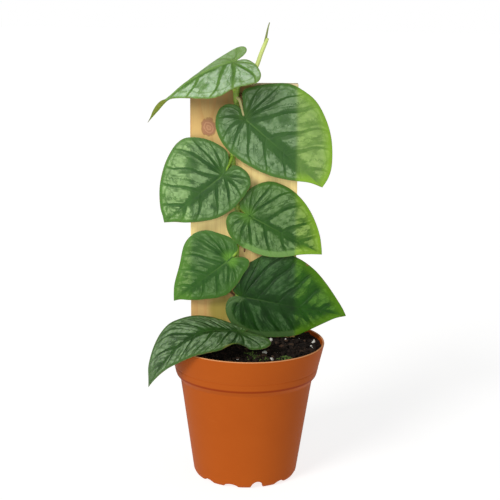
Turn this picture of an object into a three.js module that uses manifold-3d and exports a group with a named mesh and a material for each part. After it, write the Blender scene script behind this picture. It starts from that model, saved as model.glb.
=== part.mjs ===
// A young shingle plant (Monstera dubia) climbing a flat wooden board in a round nursery pot.
// Millimetres, +Z up. The origin is the centre of the pot's base; the leaves face -Y.
import * as THREE from 'three';
import { mergeVertices } from 'three/addons/utils/BufferGeometryUtils.js';
import Module from 'manifold-3d';

const wasm = await Module();
wasm.setup();

// Driving dimensions of the pot, the board and the soil
const POT_RIM_RADIUS = 55;
const POT_HEIGHT = 97.9;
const POT_SEGMENTS = 48;
const SOIL_SEGMENTS = 36;
const FOOT_NOTCHES = 12;
const FIRST_NOTCH = THREE.MathUtils.degToRad(14.2);
const DEEP_NOTCH = [9.4, 5.2];
const SHALLOW_NOTCH = [11, 3];
const DRAIN_SLOT_WIDTH = 4;
const BOARD_WIDTH = 74.55;
const BOARD_THICKNESS = 9;
const BOARD_FRONT = 8;
const BOARD_BOTTOM = 64;
const BOARD_TOP = 277.85;
const BOARD_MIDDLE_X = -2.65;
const EDGE_BREAK = 0.5;
const BOARD_LEAN = THREE.MathUtils.degToRad(-0.56);
const SOIL_GAP = 0.35;
const HOLE_GAP = 0.35;
const STEM_GAP = 0.3;
const BLADE_THICKNESS = 0.8;
const MIDRIB_RISE = 0.6;
const FAN_ROWS = 8;
const BLADE_ROWS = 18;
const BLADE_STEPS = [0, 0.08, 0.34, 0.68, 1];

const COLOURS = {
  pot: [0xa8561f, 0.42],
  soil: [0x2b211b, 0.95],
  board: [0xe6c794, 0.62],
  stem: [0x6f8a3c, 0.55],
  leaf: [0x5f8f4a, 0.45],
  shoot: [0xb9c873, 0.5],
};

// Outer and inner outline of the pot wall: radius, height
const POT_PROFILE = [
  [0, 3.2], [30.8, 3.2], [31.5, 0], [33.9, 0], [35.6, 0.8], [36.5, 2.2], [36.9, 3.6],
  [45.4, 61.6], [46.8, 70.4], [47.2, 71.3], [49.6, 74.3], [50.2, 75.8],
  [51.1, 79.9], [51.0, 80.7], [51.4, 81.5], [54.7, 95.6], [POT_RIM_RADIUS, 96.9], [54.7, POT_HEIGHT],
  [54.0, POT_HEIGHT], [53.6, 97.3], [49.0, 75.7], [45.6, 70], [44.1, 61.6], [35.6, 6.2],
  [34.7, 5], [33.5, 4.6], [0, 4.6],
];
const POT_INNER = [[34.7, 5], [35.6, 6.2], [44.1, 61.6], [45.6, 70], [49.0, 75.7], [53.6, 97.3]];

// Centre line of the climbing stem with its radius; the stem swells at every leaf node
const STEM_LINE = [
  [-2.5, 5.0, 84, 1.8], [-2.8, 5.5, 93, 2.0], [-3.1, 5.6, 101, 2.2], [-4.6, 5.6, 112, 1.8],
  [-6.5, 5.6, 124.5, 2.3],
  [-7.2, 5.6, 136, 1.8], [-8.3, 5.6, 150, 1.8], [-8.6, 5.6, 160, 2.3], [-8.4, 5.6, 173, 1.8],
  [-7.6, 5.6, 190, 2.3], [-9.4, 5.6, 205, 1.8], [-11.8, 5.6, 222.5, 2.3], [-11.8, 5.6, 234, 1.8],
  [-10.4, 5.6, 249.5, 2.3], [-9.3, 5.6, 261, 1.8], [-9.8, 5.6, 272, 2.3], [-8.8, 5.2, 276.5, 1.8],
  [-7.0, 4.9, 279.2, 1.6],
];

// Short aerial roots and dried bits that grow from the stem and lie along the board
const ROOTS = [
  [[-11.8, 5.6, 225], [-14.6, 6.4, 226.5], [-17.2, 6.9, 224.4], [-18.4, 6.9, 221.2]],
  [[-7.6, 5.6, 192], [-4.4, 6.6, 193.4], [-1.2, 6.9, 191.6], [1.4, 6.9, 187.4]],
  [[-8.6, 5.6, 162.6], [-5.6, 6.0, 165.0], [-2.8, 5.8, 163.6], [-2.6, 5.4, 160.2]],
  [[-6.5, 5.6, 127], [-10.4, 6.4, 129.5], [-14.6, 6.9, 131.8], [-18.0, 6.9, 130.2]],
  [[-9.8, 5.6, 270], [-5.6, 6.4, 270.8], [-1.6, 6.9, 267.6], [0.2, 6.9, 263.4]],
  [[-3.1, 5.6, 104], [0.4, 6.2, 104.6], [3.2, 6.6, 103], [4.8, 6.4, 100.6]],
];
const ROOT_RADII = [0.9, 0.75, 0.65, 0.5];

// The unfurling shoot at the top: a sheath, and the thin rolled tip that comes out of it
const SHEATH_LINE = [
  [-6.7, 4.86, 279.65, 1.6], [-5.4, 4.7, 281.4, 1.75], [-2.2, 4.5, 283.2, 1.75], [1.0, 4.4, 285.6, 1.65],
  [4.3, 4.1, 291.6, 1.5], [6.5, 4.0, 298.2, 1.42], [9.0, 4.0, 304.6, 1.4], [11.0, 4.0, 309.4, 1.15],
];
const SPEAR_LINE = [
  [9.0, 4.0, 305.4, 0.9], [10.0, 4.0, 310.0, 0.8], [10.8, 4.0, 314.4, 0.6], [11.5, 4.0, 317.6, 0.42],
  [12.2, 4.0, 319.9, 0.32],
];

// The leaves from top to bottom. The blade lies in a local x, y plane with x along the midrib from the
// notch at its base to the tip; yaw, pitch and turn place that plane. "plus" and "minus" are outline
// points on the two sides. The other numbers fold, cup, arch and droop the blade out of its plane, and
// curl turns up a stretch of the near margin: its middle, half length, inner edge, outer edge and height.
const LEAVES = [
  {
    name: 'leaf_1', origin: [-10.1, -2, 294.1], yaw: -28, pitch: 62, turn: 223.7, length: 69.6, hub: [3, 0],
    near: -0.25, far: -0.33, farTwist: -0.62, arch: 1.8, droop: 22, power: 2.2, back: 0,
    plus: [[-3, 0.3], [-7, 2.6], [-9.7, 7.4], [-11, 13], [-10, 21.5], [-6, 26], [0, 26], [7, 25],
      [14, 25.5], [21.5, 26.5], [28, 24], [34, 19], [40, 13], [46, 6.5], [50.5, 2.2], [54, 0.8],
      [60, 1.3], [65.5, 0.7]],
    minus: [[-3, -2], [-8, -7], [-12, -15], [-12.5, -24], [-9.5, -30], [-2, -32.5], [8, -31], [18, -27],
      [28, -22], [37, -16], [44, -9.5], [49.5, -4], [52.8, -2.8], [56, -5.2], [59.5, -6], [63.5, -4.4],
        [66.8, -1.4]],
    petiole: [[-9.8, 5.6, 272, 1.5], [-13.2, 3.2, 279, 1.4], [-13.0, 0.4, 287, 1.3],
      [-11.2, -1.6, 292.2, 1.2]],
  },
  {
    name: 'leaf_2', origin: [-4.4, -1, 257.5], yaw: 3, pitch: 5, turn: -42, length: 74.2, hub: [2.5, -1.5],
    nearCup: 2, farCup: 2, droop: 4, back: 25,
    plus: [[-2.3, 1.9], [-6, 5.5], [-10, 9.2], [-11.5, 12.5], [-8, 19], [-1, 28], [9, 37], [22, 40.5],
      [31.5, 40.5], [44.5, 36], [56.5, 28.5], [69.5, 14.5], [73, 7]],
    minus: [[-2.5, 1], [-6, 2], [-9.5, 1], [-13.5, -2.5], [-15, -8], [-12, -15.5], [-5.5, -21], [4, -24.5],
      [15, -25], [27, -23], [41.5, -18.5], [54, -11.5], [65.5, -3.5]],
    petiole: [[-9.6, 5.6, 269, 1.4], [-7.6, 2.6, 267.6, 1.2], [-6.2, 0.6, 263.4, 0.95],
      [-5.2, -0.4, 259.4, 0.9]],
  },
  {
    name: 'leaf_3', origin: [-16.4, -0.8, 218.3], yaw: -3, pitch: 7, turn: 220.8, length: 56.1, hub: [3, 1],
    nearCup: 2, farCup: 2, droop: 4, back: 15,
    plus: [[-3, 0], [-7, 0], [-9.8, 4], [-11, 11], [-8, 17.5], [0, 21], [11.5, 23], [22.5, 22], [34.5, 16.5],
      [44.5, 9.5], [50, 4.5]],
    minus: [[-2.5, -1.8], [-5.5, -3.5], [-9, -8], [-9.5, -12], [-6, -22], [-2, -28], [3, -33], [8, -36],
      [14.5, -36.5], [23, -34], [31, -30], [42.5, -21], [51.5, -9.5], [54, -4]],
    petiole: [[-11.9, 5.6, 228.5, 1.6], [-12.9, 3.0, 226, 1.5], [-14.9, 1.0, 221.8, 1.3]],
  },
  {
    name: 'leaf_4', origin: [-1.9, -0.3, 188.6], yaw: 4, pitch: 6, turn: -28.1, length: 61.2, hub: [3, 0],
    nearCup: 2.5, farCup: 2.5, droop: 4, back: 15,
    plus: [[-3.5, 1], [-6, 2], [-8, 5.5], [-7.4, 12], [-4, 20], [3.5, 27.5], [14, 30], [26, 28.7], [39, 23],
      [52, 12.5], [59, 3.5]],
    minus: [[-3.5, -0.7], [-7, -1.4], [-10.2, -5], [-10, -10.5], [-5, -17], [0.5, -20], [7, -21.7],
      [15, -21.4], [22.5, -20.6], [29.5, -18.5], [37.5, -14.5], [47.5, -7.3], [53.5, -3.8]],
    petiole: [[-7.6, 5.6, 192, 1.5], [-5.4, 3.4, 192.2, 1.4], [-3.2, 1.5, 190.4, 1.3]],
  },
  {
    name: 'leaf_5', origin: [-10.9, -0.5, 157.5], yaw: -3, pitch: 6, turn: 218.2, length: 52.4, hub: [3, 0],
    nearCup: 2.5, farCup: 2.5, droop: 4, back: 15,
    plus: [[-2.5, 1.5], [-6, 4], [-8, 8], [-6, 11.5], [0, 13.5], [7, 16.5], [15, 18.3], [21, 18.3], [30.5, 14],
      [42.5, 6.5], [48, 2]],
    minus: [[-3, -1], [-6.5, -2.5], [-8.5, -7], [-7, -12.5], [-3.5, -18], [3, -26], [9, -29], [15.5, -29.5],
      [22, -27.5], [33.5, -18], [45, -9], [49, -4.5]],
    petiole: [[-8.5, 5.6, 166.5, 1.6], [-7.8, 3.0, 164.6, 1.6], [-8.8, 1.0, 160.6, 1.4]],
  },
  {
    name: 'leaf_6', origin: [-6.3, -0.7, 129.8], yaw: 2, pitch: 5, turn: -10.7, length: 78, hub: [3, 0],
    nearCup: 1.5, farCup: 2, droop: 4, back: 20,
    plus: [[-3, 1.5], [-5.6, 4.2], [-6.6, 8.4], [-6, 15], [-2, 21], [4.5, 26], [13, 32.5], [25.5, 35.6],
      [37.5, 33.8], [48.5, 28.7], [57, 22.4], [69, 10.8], [75, 4.2]],
    minus: [[-3, -0.5], [-6, -2.5], [-7.5, -7], [-7, -11.5], [-4.5, -16.5], [0, -21], [10.5, -25.5],
      [18, -26.2], [26.5, -25.3], [45, -20.5], [51.5, -16.5], [64, -7.5], [71, -2.8]],
    petiole: [[-6.5, 5.6, 124.5, 1.5], [-6.8, 3.0, 126.8, 1.4], [-6.4, 1.2, 129, 1.3]],
  },
  {
    name: 'leaf_7', origin: [-3.7, -18, 108.5], yaw: 10, pitch: 76, turn: 185.5, length: 64.9, hub: [3, 0],
    near: -0.04, far: 0.03, arch: 4.9, droop: 38, power: 3.2, back: 0, curl: [9, 11, 17, 23.5, 4],
    plus: [[-3.5, 0.8], [-9, 4.8], [-15, 9.6], [-17, 14.5], [-15, 20], [-8.5, 23.5], [0, 23], [8, 23],
      [16, 23], [24, 25.5], [32, 24.2], [40, 20.5], [48, 15.5], [55, 8.5], [61, 3]],
    minus: [[-3, -0.5], [-5, -2.5], [-3, -6], [2, -9.5], [8, -13], [14.5, -16.7], [22, -20.2], [30, -24],
      [37.7, -27.3], [44.7, -30.8], [50.3, -31.4], [55, -28.4], [58.7, -23.6], [61.8, -17], [63.6, -7.2]],
    petiole: [[-3.1, 5.6, 101, 1.5], [-6.2, 0.6, 101.6, 1.4], [-6.6, -8, 104.4, 1.3],
      [-4.6, -15.6, 107.2, 1.2]],
  },
];

const lerp = THREE.MathUtils.lerp;
const radians = THREE.MathUtils.degToRad;

// A closed solid from a geometry whose shared corners are merged
function toSolid(geometry) {
  const plain = geometry.index ? geometry.toNonIndexed() : geometry.clone();
  plain.deleteAttribute('normal');
  plain.deleteAttribute('uv');
  const merged = mergeVertices(plain, 1e-4);
  const index = merged.index.array;
  const corners = [];
  for (let i = 0; i < index.length; i += 3) {
    const [a, b, c] = [index[i], index[i + 1], index[i + 2]];
    if (a !== b && b !== c && c !== a) corners.push(a, b, c);
  }
  return new wasm.Manifold(new wasm.Mesh({
    numProp: 3,
    vertProperties: new Float32Array(merged.attributes.position.array),
    triVerts: new Uint32Array(corners),
  }));
}

// A geometry with flat faces from a solid
function toGeometry(solid) {
  const mesh = solid.getMesh();
  const geometry = new THREE.BufferGeometry();
  geometry.setAttribute('position', new THREE.BufferAttribute(new Float32Array(mesh.vertProperties), 3));
  geometry.setIndex(new THREE.BufferAttribute(new Uint32Array(mesh.triVerts), 1));
  geometry.computeVertexNormals();
  return geometry;
}

// A tapering round tube with closed ends: a lathe bent along a smooth line of [x, y, z, radius]
function taperedTube(line, rings, sides, extra = 0) {
  const points = line.map((p) => new THREE.Vector3(p[0], p[1], p[2]));
  const curve = new THREE.CatmullRomCurve3(points, false, 'centripetal');
  const profile = [new THREE.Vector2(0, 0)];
  const at = [];
  for (let i = 0; i <= rings; i++) {
    const t = i / rings;
    const along = t * (line.length - 1);
    const k = Math.min(Math.floor(along), line.length - 2);
    profile.push(new THREE.Vector2(lerp(line[k][3], line[k + 1][3], along - k) + extra, t));
    at.push({ point: curve.getPoint(t), tangent: curve.getTangent(t) });
  }
  profile.push(new THREE.Vector2(0, 1));
  let across = new THREE.Vector3(1, 0, 0);
  for (const ring of at) {
    across = across.clone().addScaledVector(ring.tangent, -across.dot(ring.tangent)).normalize();
    ring.across = across;
    ring.over = new THREE.Vector3().crossVectors(across, ring.tangent);
  }
  const geometry = new THREE.LatheGeometry(profile, sides);
  const position = geometry.attributes.position;
  for (let i = 0; i < position.count; i++) {
    const ring = at[Math.round(position.getY(i) * rings)];
    const place = ring.point.clone();
    place.addScaledVector(ring.across, position.getX(i));
    place.addScaledVector(ring.over, position.getZ(i));
    position.setXYZ(i, place.x, place.y, place.z);
  }
  return geometry;
}

function latheOf(profile, segments) {
  const outline = profile.map((p) => new THREE.Vector2(p[0], p[1]));
  return new THREE.LatheGeometry(outline, segments).rotateX(Math.PI / 2);
}

// The pot: a turned wall, with notches through its foot and drain slots in its floor
function makePot() {
  let pot = toSolid(latheOf(POT_PROFILE, POT_SEGMENTS));
  for (let i = 0; i < FOOT_NOTCHES; i++) {
    const angle = FIRST_NOTCH + (i * 2 * Math.PI) / FOOT_NOTCHES;
    const notch = archCutter(...(i % 4 === 0 ? DEEP_NOTCH : SHALLOW_NOTCH)).rotateZ(angle);
    const slot = new THREE.BoxGeometry(DRAIN_SLOT_WIDTH, 3.2, 8).translate(0, -32.2, 3).rotateZ(angle);
    pot = pot.subtract(toSolid(notch)).subtract(toSolid(slot));
  }
  return pot;
}

// A cutter with an arched top that passes through the front of the foot ring
function archCutter(width, height) {
  const shape = new THREE.Shape();
  shape.moveTo(-width / 2, -1);
  shape.lineTo(width / 2, -1);
  shape.absellipse(0, 0, width / 2, height, 0, Math.PI);
  const geometry = new THREE.ExtrudeGeometry(shape, { depth: 12, bevelEnabled: false, curveSegments: 6 });
  return geometry.rotateX(Math.PI / 2).translate(0, -29, 0);
}

// Height of the soil: lower at the front and at the wall, and heaped along the board
function soilHeight(x, y) {
  const rise = THREE.MathUtils.smoothstep(y, -46, 2);
  const rim = THREE.MathUtils.smoothstep(Math.hypot(x, y), 38, 52);
  const heap = Math.exp(-(((y - 7) / 9) ** 2)) * (1 - THREE.MathUtils.smoothstep(Math.hypot(x, y), 32, 48));
  const lumps = 0.55 * Math.sin(x * 0.31 + 1.3) * Math.cos(y * 0.27) + 0.35 * Math.sin(x * 0.53 - y * 0.61);
  return 91.2 + 4.4 * rise - 1.0 * rim + 2.2 * heap + lumps;
}

// Radius of the pot's inner wall above its shoulder
function innerRadius(height) {
  const [[r0, z0], [r1, z1]] = POT_INNER.slice(-2);
  return lerp(r0, r1, (height - z0) / (z1 - z0));
}

// The board: a flat plank with slightly broken edges, leaning a little to the left
function makeBoard() {
  const half = BOARD_WIDTH / 2;
  const shape = new THREE.Shape();
  shape.moveTo(-half, 0);
  shape.lineTo(half, 0);
  shape.lineTo(half, BOARD_THICKNESS);
  shape.lineTo(-half, BOARD_THICKNESS);
  const geometry = new THREE.ExtrudeGeometry(shape, {
    depth: BOARD_TOP - BOARD_BOTTOM - 2 * EDGE_BREAK,
    bevelThickness: EDGE_BREAK,
    bevelSize: EDGE_BREAK,
    bevelOffset: -EDGE_BREAK,
    bevelSegments: 1,
  });
  geometry.translate(0, BOARD_FRONT, BOARD_BOTTOM - 100 + EDGE_BREAK);
  return toSolid(geometry.rotateY(BOARD_LEAN).translate(BOARD_MIDDLE_X, 0, 100));
}

// The soil fills the pot and leaves a pocket for the board and a hole for the stem
function makeSoil() {
  const profile = [[0, 4.95]];
  for (const [radius, height] of POT_INNER.slice(0, -1)) {
    profile.push([radius - SOIL_GAP, Math.max(height, 4.95)]);
  }
  const rim = 51.5;
  profile.push([rim, 96]);
  for (let i = 1; i <= 9; i++) profile.push([rim * (1 - i / 9), 96]);
  const geometry = latheOf(profile, SOIL_SEGMENTS);
  const position = geometry.attributes.position;
  for (let i = 0; i < position.count; i++) {
    if (position.getZ(i) < 95) continue;
    const x = position.getX(i);
    const y = position.getY(i);
    const height = soilHeight(x, y);
    const radius = Math.hypot(x, y);
    const onWall = radius > rim - 0.1 ? (innerRadius(height) - SOIL_GAP) / radius : 1;
    position.setXYZ(i, x * onWall, y * onWall, height);
  }
  const pocket = new THREE.BoxGeometry(BOARD_WIDTH + 2 * HOLE_GAP, BOARD_THICKNESS + 2 * HOLE_GAP, 80);
  pocket.translate(0, BOARD_FRONT + BOARD_THICKNESS / 2, BOARD_BOTTOM - 100 + 40 - HOLE_GAP);
  pocket.rotateY(BOARD_LEAN).translate(BOARD_MIDDLE_X, 0, 100);
  const hole = taperedTube(STEM_LINE.slice(0, 4), 8, 12, HOLE_GAP);
  const foot = new THREE.CylinderGeometry(2.3, 2.3, 2, 12).rotateX(Math.PI / 2).translate(-2.5, 5, 84);
  return toSolid(geometry).subtract(toSolid(pocket)).subtract(toSolid(hole)).subtract(toSolid(foot));
}

function makeStem() {
  let stem = toSolid(taperedTube(STEM_LINE, 44, 8));
  for (const root of ROOTS) {
    const line = root.map((p, i) => [...p, ROOT_RADII[i]]);
    stem = stem.add(toSolid(taperedTube(line, 6, 5)));
  }
  return stem;
}

function makeShoot() {
  return toSolid(taperedTube(SHEATH_LINE, 18, 8)).add(toSolid(taperedTube(SPEAR_LINE, 8, 6)));
}

// Outline of one side of a blade, from the notch round the lobe to the tip, as many short steps
function outline(points, length) {
  const line = [[0, 0], ...points, [length, 0]].map((p) => new THREE.Vector3(p[0], p[1], 0));
  return new THREE.CatmullRomCurve3(line, false, 'centripetal').getPoints((line.length - 1) * 24);
}

// How far along the midrib the vein to an outline point leaves it
const alongMidrib = (p) => p.x - 0.55 * Math.abs(p.y);

// Split one side into its back lobe, which fans from the hub, and the run to the tip
function sideOf(leaf, points) {
  const line = outline(points, leaf.length);
  let split = 0;
  line.forEach((p, i) => {
    if (alongMidrib(p) <= leaf.hub[0]) split = i;
  });
  const measure = (list) =>
    list.reduce((sum, p, i) => (i ? [...sum, sum[i - 1] + p.distanceTo(list[i - 1])] : [0]), []);
  const lobe = line.slice(0, split + 1);
  const run = line.slice(split);
  return { lobe, lobeLength: measure(lobe), run, runLength: measure(run) };
}

function sample(list, keys, key) {
  let i = 1;
  while (i < keys.length - 1 && keys[i] < key) i++;
  const part = THREE.MathUtils.clamp((key - keys[i - 1]) / Math.max(keys[i] - keys[i - 1], 1e-9), 0, 1);
  return list[i - 1].clone().lerp(list[i], part);
}

// Rows of blade points from the midrib to the outline, for both sides of a leaf
function bladeRows(leaf) {
  const sides = [sideOf(leaf, leaf.plus), sideOf(leaf, leaf.minus)];
  const stations = [];
  for (let i = 1; i < BLADE_ROWS; i++) {
    const part = i / BLADE_ROWS;
    const places = sides.map((s) => alongMidrib(sample(s.run, s.runLength, s.runLength.at(-1) * part)));
    stations.push(Math.max((places[0] + places[1]) / 2, leaf.hub[0] + 0.4 * i));
  }
  return sides.map((side) => {
    const rows = [];
    for (let i = 0; i <= FAN_ROWS; i++) {
      const edge = sample(side.lobe, side.lobeLength, (side.lobeLength.at(-1) * i) / FAN_ROWS);
      rows.push({ middle: [leaf.hub[0], leaf.hub[1]], edge: [edge.x, edge.y] });
    }
    let top = -Infinity;
    const places = side.run.map((p) => (top = Math.max(top, alongMidrib(p))));
    for (const station of stations) {
      const edge = sample(side.run, places, station);
      const part = (station - leaf.hub[0]) / (leaf.length - leaf.hub[0]);
      rows.push({ middle: [station, leaf.hub[1] * (1 - part) ** 2], edge: [edge.x, edge.y] });
    }
    rows.push({ middle: [leaf.length, 0], edge: [leaf.length, 0] });
    return rows.map(({ middle, edge }) =>
      BLADE_STEPS.map((s) => [lerp(middle[0], edge[0], s), lerp(middle[1], edge[1], s)]));
  });
}

// Height of the blade above its plane
function lift(leaf, x, y) {
  const { smoothstep } = THREE.MathUtils;
  const across = Math.sqrt(y * y + 6.25) - 2.5;
  const t = x / leaf.length;
  const slope = y > 0 ? leaf.near ?? 0 : (leaf.far ?? 0) + (leaf.farTwist ?? 0) * t;
  const cup = y > 0 ? leaf.nearCup ?? 0 : leaf.farCup ?? 0;
  let height = slope * (1 - smoothstep(t, 0.68, 0.8)) * across - cup * (y / 30) ** 2;
  if (leaf.curl) {
    const [middle, half, inner, outer, rise] = leaf.curl;
    height += rise * smoothstep(y, inner, outer) * (1 - smoothstep(Math.abs(x - middle), 0, half));
  }
  height -= t > 0 ? leaf.droop * t ** (leaf.power ?? 2) : leaf.back * t * t;
  return height + (leaf.arch ?? 0) * Math.sin(Math.PI * THREE.MathUtils.clamp(t, 0, 1));
}

// A blade point in space, and the blade's direction there
function bladeSurface(leaf) {
  const [yaw, pitch, turn] = [leaf.yaw, leaf.pitch, leaf.turn].map(radians);
  const flat = Math.cos(pitch);
  const normal = new THREE.Vector3(Math.sin(yaw) * flat, -Math.cos(yaw) * flat, Math.sin(pitch));
  const right = new THREE.Vector3(Math.cos(yaw), Math.sin(yaw), 0);
  const up = new THREE.Vector3().crossVectors(normal, right);
  const axisX = right.clone().multiplyScalar(Math.cos(turn)).addScaledVector(up, Math.sin(turn));
  const axisY = new THREE.Vector3().crossVectors(normal, axisX);
  const point = (x, y) => new THREE.Vector3(...leaf.origin)
    .addScaledVector(axisX, x).addScaledVector(axisY, y).addScaledVector(normal, lift(leaf, x, y));
  const facing = (x, y) => {
    const dx = point(x + 0.5, y).sub(point(x - 0.5, y));
    const dy = point(x, y + 0.5).sub(point(x, y - 0.5));
    return dx.cross(dy).normalize();
  };
  return { point, facing };
}

// The blade as a closed sheet: the same triangles on both faces, joined round the rim
function makeBlade(leaf) {
  const { point, facing } = bladeSurface(leaf);
  const corners = [];
  const last = BLADE_STEPS.length - 1;
  const place = ([x, y], step, face) => {
    const ridge = face < 0 && step === 0 ? MIDRIB_RISE * (1 - (0.85 * x) / leaf.length) : 0;
    return point(x, y).addScaledVector(facing(x, y), face * (BLADE_THICKNESS / 2 + ridge));
  };
  const triangle = (a, b, c) => {
    if (a.distanceTo(b) > 1e-3 && b.distanceTo(c) > 1e-3 && c.distanceTo(a) > 1e-3) {
      for (const p of [a, b, c]) corners.push(p.x, p.y, p.z);
    }
  };
  const quad = (a, b, c, d, forward) => {
    if (forward) {
      triangle(a, b, c);
      triangle(a, c, d);
    } else {
      triangle(a, c, b);
      triangle(a, d, c);
    }
  };
  bladeRows(leaf).forEach((rows, side) => {
    for (let i = 0; i < rows.length - 1; i++) {
      for (const face of [1, -1]) {
        for (let j = 0; j < last; j++) {
          quad(
            place(rows[i][j], j, face), place(rows[i + 1][j], j, face),
            place(rows[i + 1][j + 1], j + 1, face), place(rows[i][j + 1], j + 1, face),
            (face > 0) === (side === 0),
          );
        }
      }
      quad(
        place(rows[i][last], last, 1), place(rows[i + 1][last], last, 1),
        place(rows[i + 1][last], last, -1), place(rows[i][last], last, -1),
        side === 0,
      );
    }
  });
  const geometry = new THREE.BufferGeometry();
  geometry.setAttribute('position', new THREE.BufferAttribute(new Float32Array(corners), 3));
  return toSolid(geometry);
}

// A leaf is its blade and petiole; the petiole hugs the stem with a small gap
function makeLeaf(leaf, fatStem) {
  const { point, facing } = bladeSurface(leaf);
  const [hx, hy] = leaf.hub;
  const seat = point(hx, hy).addScaledVector(facing(hx, hy), -0.5);
  const inner = point(hx + 6, hy).addScaledVector(facing(hx + 6, hy), -0.45);
  const line = [...leaf.petiole, [seat.x, seat.y, seat.z, 1.0], [inner.x, inner.y, inner.z, 0.55]];
  const petiole = toSolid(taperedTube(line, 12, 7)).subtract(fatStem);
  return makeBlade(leaf).add(petiole);
}

function addMesh(group, name, colour, solid) {
  const [color, roughness] = COLOURS[colour];
  const material = new THREE.MeshStandardMaterial({ color, roughness, metalness: 0 });
  const mesh = new THREE.Mesh(toGeometry(solid), material);
  mesh.name = name;
  group.add(mesh);
}

const plant = new THREE.Group();
plant.name = 'potted_shingle_plant';
const fatStem = toSolid(taperedTube(STEM_LINE, 44, 8, STEM_GAP + 0.15));
addMesh(plant, 'pot', 'pot', makePot());
addMesh(plant, 'soil', 'soil', makeSoil());
addMesh(plant, 'board', 'board', makeBoard());
addMesh(plant, 'stem', 'stem', makeStem());
for (const leaf of LEAVES) addMesh(plant, leaf.name, 'leaf', makeLeaf(leaf, fatStem));
addMesh(plant, 'shoot', 'shoot', makeShoot());

export default plant;
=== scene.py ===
"""Looks of a young shingle plant on a pine board in a round nursery pot. Lengths here are millimetres
unless a name says otherwise, and meshes are made in metres."""
import math
from types import SimpleNamespace

import bmesh
import bpy
import numpy as np
from mathutils import Matrix, Vector


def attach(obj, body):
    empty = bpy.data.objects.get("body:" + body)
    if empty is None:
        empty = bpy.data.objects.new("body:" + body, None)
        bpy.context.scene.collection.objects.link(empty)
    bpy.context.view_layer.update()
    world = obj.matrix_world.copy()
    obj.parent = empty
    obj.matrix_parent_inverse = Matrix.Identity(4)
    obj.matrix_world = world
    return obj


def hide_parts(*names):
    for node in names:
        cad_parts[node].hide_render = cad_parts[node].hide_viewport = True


MM = 0.001
CAMERA_AT = (1.28, -901.62, 361.53)
CAMERA_PITCH = math.radians(12.42)
CAMERA_ROLL = math.radians(0.88)
CAMERA_LENS = 95.1
SENSOR_WIDTH = 36

# A soft main light from the upper left in front, a weaker one from the front that fills the shadows between
# the leaves, an even white surround, and a floor that glows a little. A spread is an angle in degrees
KEY = dict(come_from=(-0.52, -0.68, 0.52), strength=2.0, spread=22, colour=(1.0, 0.985, 0.955))
FILL = dict(come_from=(-0.05, -1.0, 0.28), strength=0.58, spread=12, colour=(1.0, 0.99, 0.97))
AMBIENT = 0.23
WHITE = (1.0, 1.0, 1.0, 1.0)
FLOOR_GLOW = 0.8
FLOOR_TONES = (0.36, 0.38)
FLOOR_HALF = 6000
FLOOR_DROP = 0.2

BOARD_WIDTH = 74.55
BOARD_THICKNESS = 9.0
BOARD_FRONT = 8.0
BOARD_BOTTOM = 64.0
BOARD_TOP = 277.85
BOARD_MIDDLE_X = -2.65
BOARD_LEAN = math.radians(-0.56)
# The board leans about this height
BOARD_TURN_Z = 100
BOARD_EASE = 0.6
BOARD_CUTS = 60
SHARP_ANGLE = math.radians(40)

# Marks on the board, as x and z: the knot, and painted green light from the leaves low down with its half
# width and half height
KNOT = (-28.5, 247.5)
GREEN_LIGHT_AT = (-19, 117)
GREEN_LIGHT_SIZE = (10, 13)
GROWTH_RING = 6.2
KNOT_RING = 2.1
KNOT_RADIUS = 5.9
# Height of the middle of the painted light that makes the wood between the leaves paler
PAINTED_LIGHT_Z = 193

POT_SEGMENTS = 180
FOOT_NOTCHES = 12
FIRST_NOTCH = math.radians(14.2)
DEEP_NOTCH = (9.4, 5.2)
SHALLOW_NOTCH = (11, 3)
NOTCH_REACH = (-29, -41)
DRAIN_AT = (0, -32.2, 3)
DRAIN_SIZE = (4, 3.2, 8)
# Lines of painted shade round the pot, under the band and at its step: height, half width that is full, half
# width where it ends, strength
BAND_SHADE_LINES = [(75.0, 0.3, 1.3, 0.7), (80.1, 0.15, 0.7, 0.1)]
# Heights where a painted highlight makes the pot's lip pale
LIP_HIGHLIGHT_Z = (97.1, 97.6)
POT_PROFILE = [
    (0, 3.2), (30.8, 3.2), (31.5, 0), (33.9, 0), (35.6, 0.8), (36.5, 2.2), (36.9, 3.6),
    (45.4, 61.6), (46.8, 70.4), (47.2, 71.3), (49.6, 74.3), (50.2, 75.8),
    (51.1, 79.9), (51.0, 80.7), (51.4, 81.5), (54.7, 95.6), (55.0, 96.9), (54.7, 97.9),
    (54.0, 97.9), (53.6, 97.3), (49.0, 75.7), (45.6, 70), (44.1, 61.6), (35.6, 6.2),
    (34.7, 5), (33.5, 4.6), (0, 4.6),
]

# Loose bits on the soil. Perlite grains that show in front of the plant are placed: x, y and half size
CRUMBS = 5200
BARK_BITS = 150
MORE_PERLITE = 90
MOSS_BITS = 60
MOSS_SPREAD = (3.4, 2.2)
MOSS_MIDDLES = [(6.6, -24), (8.5, -30), (27, -27), (-30, 30), (26, 34)]
PERLITE = np.array([
    (17.2, 0.3, 1.6), (27.9, 2, 1.2), (37.2, 6, 1.0), (41.3, 16, 0.9), (47.4, 3.5, 2.0), (45.4, -6.1, 1.3),
    (47.9, -1.5, 1.5), (46.6, -8.2, 1.2), (48, 8.4, 1.0), (12.5, -21.1, 2.0), (17.6, -31.2, 1.7),
    (9.3, -30.3, 0.8), (-6.5, -31.1, 1.0), (28.3, -8.9, 0.8), (32.3, -17.7, 0.8), (22, -3, 0.6),
])

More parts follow.
